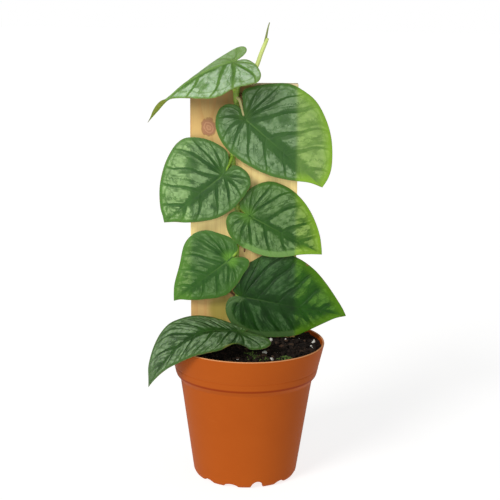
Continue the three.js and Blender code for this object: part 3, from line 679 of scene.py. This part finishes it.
def pot_material():
    n = Nodes("pot")
    place = n.place()
    height = n.split(place)[2]
    cloud = n.noise(place, 22, 4, 0.6)
    speck = n.noise(place, 1400, 2, 0.5)
    scuff = n.noise(n.stretch(place, (1.0, 1.0, 7.0)), 60, 5, 0.7)
    colour = n.mix(cloud, "pot_deep", "pot_pale")
    colour = n.mix(n.step(scuff, 0.62, 0.8, 0.0, 0.1), colour, "scuff")
    # painted shade darkens the groove under the band and thinly its step, and a painted highlight makes the
    # lip pale
    for middle, inner, outer, strength in BAND_SHADE_LINES:
        band_shade = n.fall(abs(height - middle * MM), inner * MM, outer * MM, strength)
        colour = n.mix(band_shade, colour, "band_shade")
    colour = n.mix(n.step(height, LIP_HIGHLIGHT_Z[0] * MM, LIP_HIGHLIGHT_Z[1] * MM, 0.0, 0.75), colour, "lip_highlight")
    return n.finish(
        Base_Color=colour, Roughness=cloud * 0.14 + speck * 0.06 + 0.42,
        Normal=n.bump(speck, 0.25, 0.12), Specular_IOR_Level=0.04)


def board_material():
    n = Nodes("board")
    place = n.place()
    x, y, z = n.split(place)
    # the grain bends round the knot
    knot_x = x - KNOT[0] * MM
    far = n.math("SQRT", (knot_x * 1.25) ** 2.0 + (z - KNOT[1] * MM) ** 2.0)
    push = n.math("EXPONENT", far * (-1 / (9 * MM)))
    bent = x + n.math("SIGN", knot_x) * push * (6.5 * MM)
    wave = n.ripple(n.stretch(place, (1.0, 1.0, 0.10)), 45)
    rings = n.fraction((bent + wave * (14 * MM) + y * 0.6) * (1 / (GROWTH_RING * MM)))
    late = n.step(rings, 0.35, 0.95) * n.fall(rings, 0.95, 1.0)
    fibre = n.noise(n.stretch(place, (1.0, 1.0, 0.035)), 1500, 3, 0.6)
    cloud = n.noise(n.stretch(place, (1, 1, 0.3)), 14, 2)
    colour = n.mix(cloud, "wood_pale", "wood_deep")
    # half way up, where the leaves stand, painted light makes the wood paler and plainer, near the top
    # painted shadow from the top leaf darkens it, and a painted highlight makes its top edge pale
    off_middle = abs(z - PAINTED_LIGHT_Z * MM)
    colour = n.mix(n.fall(off_middle, 16 * MM, 58 * MM, 0.95), colour, "painted_light_wood")
    colour = n.mix(n.step(z, 258 * MM, 266 * MM, 0.0, 0.5), colour, "painted_shadow_wood")
    ring_strength = n.step(off_middle, 16 * MM, 58 * MM, 0.12, 0.38)
    colour = n.mix(late * ring_strength, colour, "late_wood")
    colour = n.mix(n.step(fibre, 0.4, 0.75, 0.0, 0.2), colour, "fibre")
    colour = n.mix(n.step(z + x * 0.1, 276 * MM, 278 * MM, 0.0, 0.8), colour, "top_edge_highlight")
    wobble = far + n.ripple(place, 230) * (5.0 * MM)
    knot_rings = n.fraction(wobble * (1 / (KNOT_RING * MM)))
    knot = n.mix(n.step(knot_rings, 0.2, 0.9), "knot_deep", "knot_pale")
    colour = n.mix(n.fall(wobble, 5.0 * MM, 6.4 * MM), colour, knot)
    knot_rim = n.fall(abs(wobble - KNOT_RADIUS * MM), 0.2 * MM, 1.1 * MM, 0.6)
    colour = n.mix(knot_rim, colour, "knot_rim")
    # the painted green light from the leaves is on the front alone
    green_light_x = ((x - GREEN_LIGHT_AT[0] * MM) * (1 / (GREEN_LIGHT_SIZE[0] * MM))) ** 2.0
    green_light_z = ((z - GREEN_LIGHT_AT[1] * MM) * (1 / (GREEN_LIGHT_SIZE[1] * MM))) ** 2.0
    green_light = green_light_x + green_light_z + n.ripple(place, 160) * 0.7
    front = n.fall(y, 9 * MM, 10 * MM, 0.75)
    colour = n.mix(n.fall(green_light, 0.2, 1.2) * front, colour, "green_light")
    relief = n.bump(late * 0.5 + fibre * 0.8, 0.35, 0.25)
    return n.finish(Base_Color=colour, Roughness=fibre * 0.25 + 0.5, Normal=relief)


def soil_material():
    n = Nodes("soil")
    place = n.place()
    lump = n.noise(place, 220, 5, 0.7)
    grit = n.noise(place, 1100, 4, 0.7)
    colour = n.mix(n.step(lump, 0.35, 0.7), "soil_deep", "soil_pale")
    colour = n.mix(n.step(grit, 0.6, 0.75, 0.0, 0.6), colour, "grit")
    return n.finish(
        Base_Color=colour, Roughness=0.95, Normal=n.bump(lump + grit, 1.0, 1.2), Specular_IOR_Level=0.25)


def plain_material(name, scale, rough, depth=0.3):
    """A material that is spotted with its deep and pale colours."""
    n = Nodes(name)
    spots = n.noise(n.place(), scale, 4, 0.65)
    colour = n.mix(spots, name + "_deep", name + "_pale")
    return n.finish(Base_Color=colour, Roughness=rough, Normal=n.bump(spots, 0.8, depth))


# Leaves

def leaf_axes(leaf):
    yaw, pitch, turn = (math.radians(leaf[k]) for k in ("yaw", "pitch", "turn"))
    normal = np.array([math.sin(yaw) * math.cos(pitch), -math.cos(yaw) * math.cos(pitch), math.sin(pitch)])
    right = np.array([math.cos(yaw), math.sin(yaw), 0])
    up = np.cross(normal, right)
    axis_x = right * math.cos(turn) + up * math.sin(turn)
    return axis_x, np.cross(normal, axis_x), normal


def lift(leaf, x, y):
    """Height of the blade above its plane."""
    across = np.sqrt(y * y + 6.25) - 2.5
    t = x / leaf["length"]
    far_slope = leaf["far"] + leaf["far_twist"] * t
    fold = 1 - smoothstep(t, 0.68, 0.8)
    height = np.where(y > 0, leaf["near"], far_slope) * fold * across
    height -= np.where(y > 0, leaf["near_cup"], leaf["far_cup"]) * (y / 30) ** 2
    height -= np.where(t > 0, leaf["droop"] * np.maximum(t, 0) ** leaf["power"], leaf["back"] * t * t)
    if "curl" in leaf:
        middle, half, inner, outer, rise = leaf["curl"]
        height += rise * smoothstep(y, inner, outer) * (1 - smoothstep(np.abs(x - middle), 0, half))
    return height + leaf["arch"] * np.sin(np.pi * np.clip(t, 0, 1))


def blade_point(leaf, x, y, extra=0.0):
    axis_x, axis_y, normal = leaf_axes(leaf)
    base = np.array(leaf["origin"])
    height = lift(leaf, x, y) + extra
    return base + x[..., None] * axis_x + y[..., None] * axis_y + height[..., None] * normal


def along_midrib(p):
    return p[:, 0] - 0.55 * np.abs(p[:, 1])


def blade_side(leaf, points):
    line = catmull([(0, 0)] + points + [(leaf["length"], 0)])
    split = np.nonzero(along_midrib(line) <= leaf["hub"][0])[0][-1]
    return line, split


def blade_rows(leaf):
    """Midrib and outline ends of the rows on both sides, and how far round the outline each row is."""
    hub_x, hub_y = leaf["hub"]
    sides = [blade_side(leaf, leaf["plus"]), blade_side(leaf, leaf["minus"])]
    part = np.arange(1, BLADE_ROWS) / BLADE_ROWS
    stations = np.zeros(BLADE_ROWS - 1)
    for line, split in sides:
        run = line[split:]
        keys = lengths(run)
        stations += 0.5 * along_midrib(sample(run, keys, part * keys[-1]))
    stations = np.maximum.accumulate(np.maximum(stations, hub_x + 0.05 * np.arange(1, BLADE_ROWS)))
    bend = hub_y * (1 - (stations - hub_x) / (leaf["length"] - hub_x)) ** 2
    fan = [leaf["hub"]] * (FAN_ROWS + 1)
    middle = np.vstack([fan, np.stack([stations, bend], axis=-1), [(leaf["length"], 0)]])
    out = []
    for line, split in sides:
        total = lengths(line)
        lobe = total[split] * np.arange(FAN_ROWS + 1) / FAN_ROWS
        places = np.maximum.accumulate(along_midrib(line[split:])) + np.arange(len(line) - split) * 1e-9
        at = np.r_[lobe, np.interp(stations, places, total[split:]), total[-1]]
        out.append((middle, sample(line, total, at), at / total[-1]))
    return out


def beside_board(place):
    """1 where a point is left or right of the board, 0 in front of it."""
    middle = BOARD_MIDDLE_X + math.tan(BOARD_LEAN) * (place[..., 2] - BOARD_TURN_Z)
    edge = BOARD_WIDTH / 2
    return smoothstep(np.abs(place[..., 0] - middle), edge - 2.6, edge + 1.0)


def rim_distance(x, y, line):
    flat = np.stack([x.ravel(), y.ravel()], axis=-1)
    best = np.full(len(flat), 1e9)
    for start in range(0, len(line), 64):
        part = line[start:start + 64]
        best = np.minimum(best, np.min(np.linalg.norm(flat[:, None] - part[None], axis=2), axis=1))
    return best.reshape(x.shape)


def half_blade(leaf, side, middle, edge, round_it):
    """The flat grid of one half of a blade, and what its points carry on both faces."""
    t = np.linspace(0, 1, BLADE_STEPS + 1)
    steps = 0.55 * t + 0.45 * t * t
    grid = middle[:, None] + (edge - middle)[:, None] * steps[None, :, None]
    x, y = grid[..., 0], grid[..., 1]
    across = np.broadcast_to(steps, x.shape)
    wobble = 0.16 * np.sin(0.21 * x + 1.7 * side) * np.cos(0.17 * y + 0.6) * across
    lateral = leaf["laterals"] * (round_it[:, None] - 0.055 * across ** 1.6) + wobble + 0.35 + 7 * side
    spacing = np.hypot(np.gradient(x, axis=0), np.gradient(y, axis=0))
    passed = np.abs(np.gradient(lateral, axis=0))
    hub_x, hub_y = leaf["hub"]
    along = np.clip((x - hub_x) / (leaf["length"] - hub_x), 0, 1)
    rib = np.where(x < hub_x, np.hypot(x - hub_x, y - hub_y), np.abs(y - hub_y * (1 - along) ** 2))
    carried = dict(
        lateral=lateral, reach=np.clip(spacing / np.maximum(passed, 1e-6), 0.2, 20), across=across,
        rib=rib, rim=rim_distance(x, y, edge), along=along, side=np.full(x.shape, float(side)),
        stalk=np.zeros(x.shape))
    return x, y, carried


def face_offset(carried, face):
    """How far a face stands off the blade's plane: swollen between the veins, ribs raised on the back."""
    rib, rim, along = carried["rib"], carried["rim"], carried["along"]
    cell = carried["lateral"] - np.floor(carried["lateral"])
    swell = np.sin(np.pi * cell) ** 1.3 * smoothstep(rib, 1.5, 8) * smoothstep(rim, 0.5, 7)
    thick = 0.1 + 0.16 * smoothstep(rim, 0, 2.5)
    if face > 0:
        ridge = 0.3 * (np.exp(-(rib / 1.1) ** 2) * (1 - 0.8 * along))
    else:
        ridge = 0.75 * np.exp(-(rib / 0.9) ** 2) * (1 - 0.75 * along)
    return 0.35 * swell + face * thick - ridge


def petiole_tube(leaf):
    """The petiole, and a value along it that rises from 1 to 2 where it runs on under the blade."""
    hub = np.array(leaf["hub"], float)
    seat, end = blade_point(leaf, hub[0] + np.array([0, 6]), hub[[1, 1]], np.array([-0.75, -0.9]))
    line = leaf["petiole"] + [(*seat, 0.9), (*end, 0.5)]
    last = len(line) - 1
    along = np.r_[np.repeat(np.linspace(0, last, PETIOLE_RINGS + 1), PETIOLE_SIDES), 0, last]
    tube = tapered_tube(line, PETIOLE_RINGS, PETIOLE_SIDES)
    return tube, 1 + smoothstep(along, last - 1.9, last - 1.2)


def make_leaf(name, leaf, material):
    bodies, blade = [], []
    values = {key: [] for key in VALUES}
    for side, rows in enumerate(blade_rows(leaf)):
        x, y, carried = half_blade(leaf, side, *rows)
        places = []
        for face in (1, -1):
            place = blade_point(leaf, x, y, face_offset(carried, face))
            places.append(place.reshape(-1, 3))
            carried["open"] = beside_board(place)
            carried["under"] = np.full(x.shape, float(face < 0))
            for key in VALUES:
                values[key].append(carried[key].ravel())
            blade.append(np.stack([x, y + HALF_SHIFT * side, np.zeros_like(x)], axis=-1).reshape(-1, 3))
        front = np.arange(x.size).reshape(x.shape)
        back = front + x.size
        strip = np.stack([front[:-1, -1], front[1:, -1], back[1:, -1], back[:-1, -1]], axis=-1)
        faces = np.vstack([grid_quads(front), grid_quads(back)[:, ::-1], strip])
        bodies.append((np.vstack(places), faces if side == 0 else faces[:, ::-1]))
    tube, stalk = petiole_tube(leaf)
    bodies.append(tube)
    blade.append(np.zeros((len(stalk), 3)))
    # the petiole counts as far from rib and rim
    for key in VALUES:
        values[key].append(np.full(len(stalk), 5.0 if key in ("rib", "rim") else 0.0))
    values["stalk"][-1] = stalk
    attributes = {key: np.concatenate(parts) for key, parts in values.items()}
    attributes["blade"] = np.vstack(blade)
    obj = add_mesh(name + "_looks", *joined(bodies), material, attributes)
    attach(obj, "root")
    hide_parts(name)


def tapered_tube(line, rings, sides, ripple=0.0):
    """Points and quads of a closed round tube along a smooth line of x, y, z, radius."""
    line = np.array(line, float)
    curve = catmull(line[:, :3])
    t = np.linspace(0, len(line) - 1, rings + 1)
    centre = sample(curve, np.arange(len(curve)) / CURVE_STEPS, t)
    radius = np.interp(t, np.arange(len(line)), line[:, 3])
    radius = radius * (1 + ripple * np.sin(np.arange(rings + 1) * 2.4))
    tangent = np.gradient(centre, axis=0)
    tangent /= np.linalg.norm(tangent, axis=1, keepdims=True)
    angle = np.linspace(0, 2 * np.pi, sides, endpoint=False)[:, None]
    across = np.array([1.0, 0, 0])
    body = []
    for c, d, r in zip(centre, tangent, radius):
        across = across - across.dot(d) * d
        across /= np.linalg.norm(across)
        body.append(c + r * (np.cos(angle) * across + np.sin(angle) * np.cross(d, across)))
    return closed_body(np.array(body), centre[[0, -1]])


# Stage, lights and camera

def add_camera():
    forward = Vector((0, math.cos(CAMERA_PITCH), -math.sin(CAMERA_PITCH)))
    up = Vector((0, math.sin(CAMERA_PITCH), math.cos(CAMERA_PITCH)))
    right = Vector((1, 0, 0))
    c, s = math.cos(CAMERA_ROLL), math.sin(CAMERA_ROLL)
    turned_right = right * c + up * s
    turned_up = up * c - right * s
    camera = new_object("camera", bpy.data.cameras.new("camera"))
    axes = Matrix((turned_right, turned_up, -forward)).transposed().to_4x4()
    camera.matrix_world = Matrix.Translation(Vector(CAMERA_AT) * MM) @ axes
    camera.data.lens = CAMERA_LENS
    camera.data.sensor_width = SENSOR_WIDTH
    camera.data.clip_start = 0.05
    bpy.context.scene.camera = camera


def add_stage():
    n = Nodes("floor")
    low, high = ((v, v, v, 1) for v in FLOOR_TONES)
    colour = n.mix(n.noise(n.place(), 3.0, 2), low, high)
    material = n.finish(
        Base_Color=colour, Roughness=0.9, Specular_IOR_Level=0.0, Emission_Color=WHITE,
        Emission_Strength=FLOOR_GLOW)
    corners = [(x * FLOOR_HALF, y * FLOOR_HALF, 0) for x, y in ((-1, -1), (1, -1), (1, 1), (-1, 1))]
    floor = add_mesh("floor", corners, [(0, 1, 2, 3)], material, blend_normals=False)
    floor.location.z = -FLOOR_DROP * MM
    world = bpy.data.worlds.new("studio")
    world.use_nodes = True
    nodes, links = world.node_tree.nodes, world.node_tree.links
    sky = nodes["Background"]
    sky.inputs["Color"].default_value = WHITE
    sky.inputs["Strength"].default_value = AMBIENT
    # the camera sees plain white behind the floor
    backdrop = nodes.new("ShaderNodeBackground")
    backdrop.inputs["Color"].default_value = WHITE
    seen = nodes.new("ShaderNodeLightPath")
    either = nodes.new("ShaderNodeMixShader")
    links.new(seen.outputs["Is Camera Ray"], either.inputs[0])
    links.new(sky.outputs[0], either.inputs[1])
    links.new(backdrop.outputs[0], either.inputs[2])
    links.new(either.outputs[0], nodes["World Output"].inputs["Surface"])
    bpy.context.scene.world = world
    bpy.context.scene.view_settings.view_transform = "Standard"
    add_light("softbox", **KEY)
    add_light("fill", **FILL)


def add_light(name, come_from, strength, spread, colour):
    light = bpy.data.lights.new(name, "SUN")
    light.energy = strength
    light.angle = math.radians(spread)
    light.color = colour
    sun = new_object(name, light)
    sun.rotation_euler = Vector(come_from).to_track_quat("Z", "Y").to_euler()


# Pot, board, soil, stem and shoot

def turned(profile, segments):
    """Points and faces of a turned body whose profile starts and ends on the axis."""
    angle = np.linspace(0, 2 * np.pi, segments, endpoint=False)
    flat = np.ones(segments)
    rings = [np.stack([r * np.cos(angle), r * np.sin(angle), z * flat], axis=-1) for r, z in profile[1:-1]]
    return closed_body(np.array(rings), [(0, 0, profile[0][1]), (0, 0, profile[-1][1])])


def rounded_profile(profile, radius=0.45, parts=3):
    """The profile with its corners eased."""
    p = np.array(profile, float)
    out = [p[0]]
    for a, b, c in zip(p[:-2], p[1:-1], p[2:]):
        before = min(radius, np.linalg.norm(a - b) * 0.4)
        after = min(radius, np.linalg.norm(c - b) * 0.4)
        start = b + (a - b) / np.linalg.norm(a - b) * before
        stop = b + (c - b) / np.linalg.norm(c - b) * after
        for t in np.linspace(0, 1, parts + 1):
            out.append((1 - t) ** 2 * start + 2 * t * (1 - t) * b + t * t * stop)
    out.append(p[-1])
    return np.array(out)


def add_arch(bm, turn, width, height, parts=16):
    """A closed cutter with an arched top, through the front of the foot ring."""
    angles = [math.pi * i / parts for i in range(parts + 1)]
    outline = [(-width / 2, -1), (width / 2, -1)]
    outline += [(width / 2 * math.cos(a), height * math.sin(a)) for a in angles]
    near, far = ([bm.verts.new(turn @ Vector((x, y, z)) * MM) for x, z in outline] for y in NOTCH_REACH)
    bm.faces.new(near)
    bm.faces.new(far[::-1])
    for a, b, c, d in zip(near, near[1:] + near[:1], far, far[1:] + far[:1]):
        bm.faces.new((b, a, c, d))


def make_pot(material):
    points, faces = turned(rounded_profile(POT_PROFILE), POT_SEGMENTS)
    pot = add_mesh("pot_looks", points, faces, material, blend_normals=False)
    cutter = bmesh.new()
    for i in range(FOOT_NOTCHES):
        turn = Matrix.Rotation(FIRST_NOTCH + i * 2 * math.pi / FOOT_NOTCHES, 4, "Z")
        add_arch(cutter, turn, *(DEEP_NOTCH if i % 4 == 0 else SHALLOW_NOTCH))
        slot = bmesh.ops.create_cube(cutter, size=MM)["verts"]
        shape = turn @ Matrix.Translation(Vector(DRAIN_AT) * MM) @ Matrix.Diagonal((*DRAIN_SIZE, 1))
        bmesh.ops.transform(cutter, matrix=shape, verts=slot)
    bmesh.ops.recalc_face_normals(cutter, faces=cutter.faces)
    mesh = bpy.data.meshes.new("notches")
    cutter.to_mesh(mesh)
    cutter.free()
    notches = new_object("notches", mesh)
    cut = pot.modifiers.new("notches", "BOOLEAN")
    cut.operation = "DIFFERENCE"
    cut.solver = "EXACT"
    cut.use_self = True
    cut.object = notches
    bpy.context.view_layer.update()
    result = bpy.data.meshes.new_from_object(pot.evaluated_get(bpy.context.evaluated_depsgraph_get()))
    pot.modifiers.clear()
    pot.data = result
    bpy.data.objects.remove(notches)
    result.set_sharp_from_angle(angle=SHARP_ANGLE)
    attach(pot, "root")
    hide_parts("pot")


def make_board(material):
    bm = bmesh.new()
    bmesh.ops.create_cube(bm, size=1.0)
    height = BOARD_TOP - BOARD_BOTTOM
    bmesh.ops.scale(bm, vec=(BOARD_WIDTH * MM, BOARD_THICKNESS * MM, height * MM), verts=bm.verts)
    bmesh.ops.bevel(bm, geom=bm.edges[:], offset=BOARD_EASE * MM, segments=3, affect="EDGES", profile=0.5)
    long_edges = [e for e in bm.edges if abs(e.verts[0].co.z - e.verts[1].co.z) > 0.1]
    bmesh.ops.subdivide_edges(bm, edges=long_edges, cuts=BOARD_CUTS, use_grid_fill=True)
    middle_z = (BOARD_TOP + BOARD_BOTTOM) / 2
    for v in bm.verts:
        v.co += Vector((0, (BOARD_FRONT + BOARD_THICKNESS / 2) * MM, (middle_z - BOARD_TURN_Z) * MM))
    foot = Matrix.Translation(Vector((BOARD_MIDDLE_X, 0, BOARD_TURN_Z)) * MM)
    bmesh.ops.transform(bm, matrix=foot @ Matrix.Rotation(BOARD_LEAN, 4, "Y"), verts=bm.verts)
    mesh = bpy.data.meshes.new("board_looks")
    bm.to_mesh(mesh)
    bm.free()
    mesh.polygons.foreach_set("use_smooth", [True] * len(mesh.polygons))
    mesh.set_sharp_from_angle(angle=SHARP_ANGLE)
    mesh.materials.append(material)
    board = new_object("board_looks", mesh)
    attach(board, "root")
    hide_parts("board")


def soil_height(x, y):
    rise = smoothstep(y, -46, 2)
    rim = smoothstep(np.hypot(x, y), 38, 52)
    heap = np.exp(-((y - 7) / 9) ** 2) * (1 - smoothstep(np.hypot(x, y), 32, 48))
    lumps = 0.55 * np.sin(x * 0.31 + 1.3) * np.cos(y * 0.27) + 0.35 * np.sin(x * 0.53 - y * 0.61)
    return 91.2 + 4.4 * rise - 1.0 * rim + 2.2 * heap + lumps


def on_board(x, y, gap):
    beside = np.abs(x - BOARD_MIDDLE_X) < BOARD_WIDTH / 2 + gap
    return beside & (y > BOARD_FRONT - gap) & (y < BOARD_FRONT + BOARD_THICKNESS + gap)


def lump_shapes(rng, count, detail=1):
    """A few lumpy pebble meshes."""
    shapes = []
    for _ in range(count):
        bm = bmesh.new()
        bmesh.ops.create_icosphere(bm, subdivisions=detail, radius=1.0)
        points = np.array([v.co[:] for v in bm.verts])
        faces = np.array([[v.index for v in f.verts] for f in bm.faces])
        bm.free()
        for _ in range(5):
            direction = rng.normal(size=3)
            direction /= np.linalg.norm(direction)
            cut = rng.uniform(0.45, 0.8)
            over = np.maximum(points @ direction - cut, 0)
            points -= over[:, None] * direction * 0.9
        points *= rng.uniform(0.75, 1.2, size=(1, 3))
        points += rng.normal(scale=0.05, size=points.shape)
        shapes.append((points, faces))
    return shapes


def random_turn(rng):
    q = rng.normal(size=4)
    q /= np.linalg.norm(q)
    w, x, y, z = q
    return np.array([
        [1 - 2 * (y * y + z * z), 2 * (x * y - z * w), 2 * (x * z + y * w)],
        [2 * (x * y + z * w), 1 - 2 * (x * x + z * z), 2 * (y * z - x * w)],
        [2 * (x * z - y * w), 2 * (y * z + x * w), 1 - 2 * (x * x + y * y)],
    ])


def scatter(name, rng, shapes, places, sizes, material, flat, sink=0.3):
    """One mesh of many small lumps that lie on the soil."""
    lumps = []
    for (x, y), size in zip(places, sizes):
        shape, corners = shapes[rng.integers(len(shapes))]
        lump = (shape * (size * rng.uniform(0.7, 1.3, size=3))) @ random_turn(rng).T
        lump[:, 2] *= flat
        low = lump[:, 2].min()
        z = float(soil_height(np.array(x), np.array(y))) - low - sink * size
        lumps.append((lump + (x, y, z), corners))
    obj = add_mesh(name, *joined(lumps), material)
    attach(obj, "root")


def soil_places(rng, count, reach=50.4):
    radius = reach * np.sqrt(rng.uniform(size=count))
    angle = rng.uniform(0, 2 * np.pi, size=count)
    x, y = radius * np.cos(angle), radius * np.sin(angle)
    keep = ~on_board(x, y, 1.6) & (np.hypot(x + 2.7, y - 5.4) > 3.4)
    return np.stack([x, y], axis=-1)[keep]


def make_soil(material):
    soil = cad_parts["soil"]
    soil.data.materials.clear()
    soil.data.materials.append(material)
    rng = np.random.default_rng(7)
    shapes = lump_shapes(rng, 12)
    places = soil_places(rng, CRUMBS)
    sizes = np.clip(rng.lognormal(-0.25, 0.45, size=len(places)), 0.35, 2.2)
    scatter("soil_crumbs", rng, shapes, places, sizes, material, flat=0.8)
    bark = plain_material("bark", scale=300, rough=0.85)
    places = soil_places(rng, BARK_BITS, reach=49)
    sizes = rng.uniform(1.2, 2.6, size=len(places))
    scatter("soil_bark", rng, shapes, places, sizes, bark, flat=0.45, sink=0.1)
    perlite = plain_material("perlite", scale=600, rough=0.9, depth=0.2)
    more = soil_places(rng, MORE_PERLITE, reach=48)
    places = np.vstack([PERLITE[:, :2], more])
    # away from the placed grains in front, the others are dust
    behind = more[:, 1] > 16
    sizes = np.r_[PERLITE[:, 2], np.where(behind, rng.uniform(0.6, 1.5, size=len(more)), 0.32)]
    rounder = lump_shapes(rng, 8, detail=2)
    scatter("soil_perlite", rng, rounder, places, sizes, perlite, flat=0.85, sink=0.25)
    moss = plain_material("moss", scale=500, rough=0.95)
    places = [middle + rng.normal(scale=MOSS_SPREAD, size=(MOSS_BITS, 2)) for middle in MOSS_MIDDLES]
    places = np.vstack(places)
    places = places[~on_board(places[:, 0], places[:, 1], 1.2)]
    sizes = rng.uniform(0.4, 0.95, size=len(places))
    scatter("soil_moss", rng, shapes, places, sizes, moss, flat=1.0, sink=0.1)


def make_stem(material):
    bodies = [tapered_tube(STEM_LINE, rings=220, sides=20, ripple=0.03)]
    for root in ROOTS:
        line = [(*p, r) for p, r in zip(root, ROOT_RADII)]
        bodies.append(tapered_tube(line, rings=30, sides=10, ripple=0.08))
    dry = np.repeat([0.1] + [1.0] * len(ROOTS), [len(points) for points, _ in bodies])
    stem = add_mesh("stem_looks", *joined(bodies), material, {"dry": dry})
    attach(stem, "root")
    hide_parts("stem")


def make_shoot(material):
    sheath = tapered_tube(SHEATH_LINE, rings=90, sides=20)
    bodies = [sheath, tapered_tube(SPEAR_LINE, rings=40, sides=12)]
    tip = np.repeat([0.0, 1.0], [len(points) for points, _ in bodies])
    shoot = add_mesh("shoot_looks", *joined(bodies), material, {"tip": tip})
    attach(shoot, "root")
    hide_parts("shoot")


add_camera()
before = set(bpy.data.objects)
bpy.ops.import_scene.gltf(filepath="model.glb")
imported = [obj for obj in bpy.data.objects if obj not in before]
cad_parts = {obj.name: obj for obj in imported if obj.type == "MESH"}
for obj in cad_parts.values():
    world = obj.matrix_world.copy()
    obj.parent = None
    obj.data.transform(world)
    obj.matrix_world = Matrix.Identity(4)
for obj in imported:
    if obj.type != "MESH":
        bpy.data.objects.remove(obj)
bpy.context.view_layer.update()
add_stage()
make_pot(pot_material())
make_board(board_material())
make_soil(soil_material())
make_stem(stem_material())
make_shoot(shoot_material())
for leaf_name, own_shape in LEAVES.items():
    leaf_shape = {**LEAF_DEFAULTS, **own_shape}
    make_leaf(leaf_name, leaf_shape, leaf_material(leaf_name, leaf_shape))

bpy.context.view_layer.update()
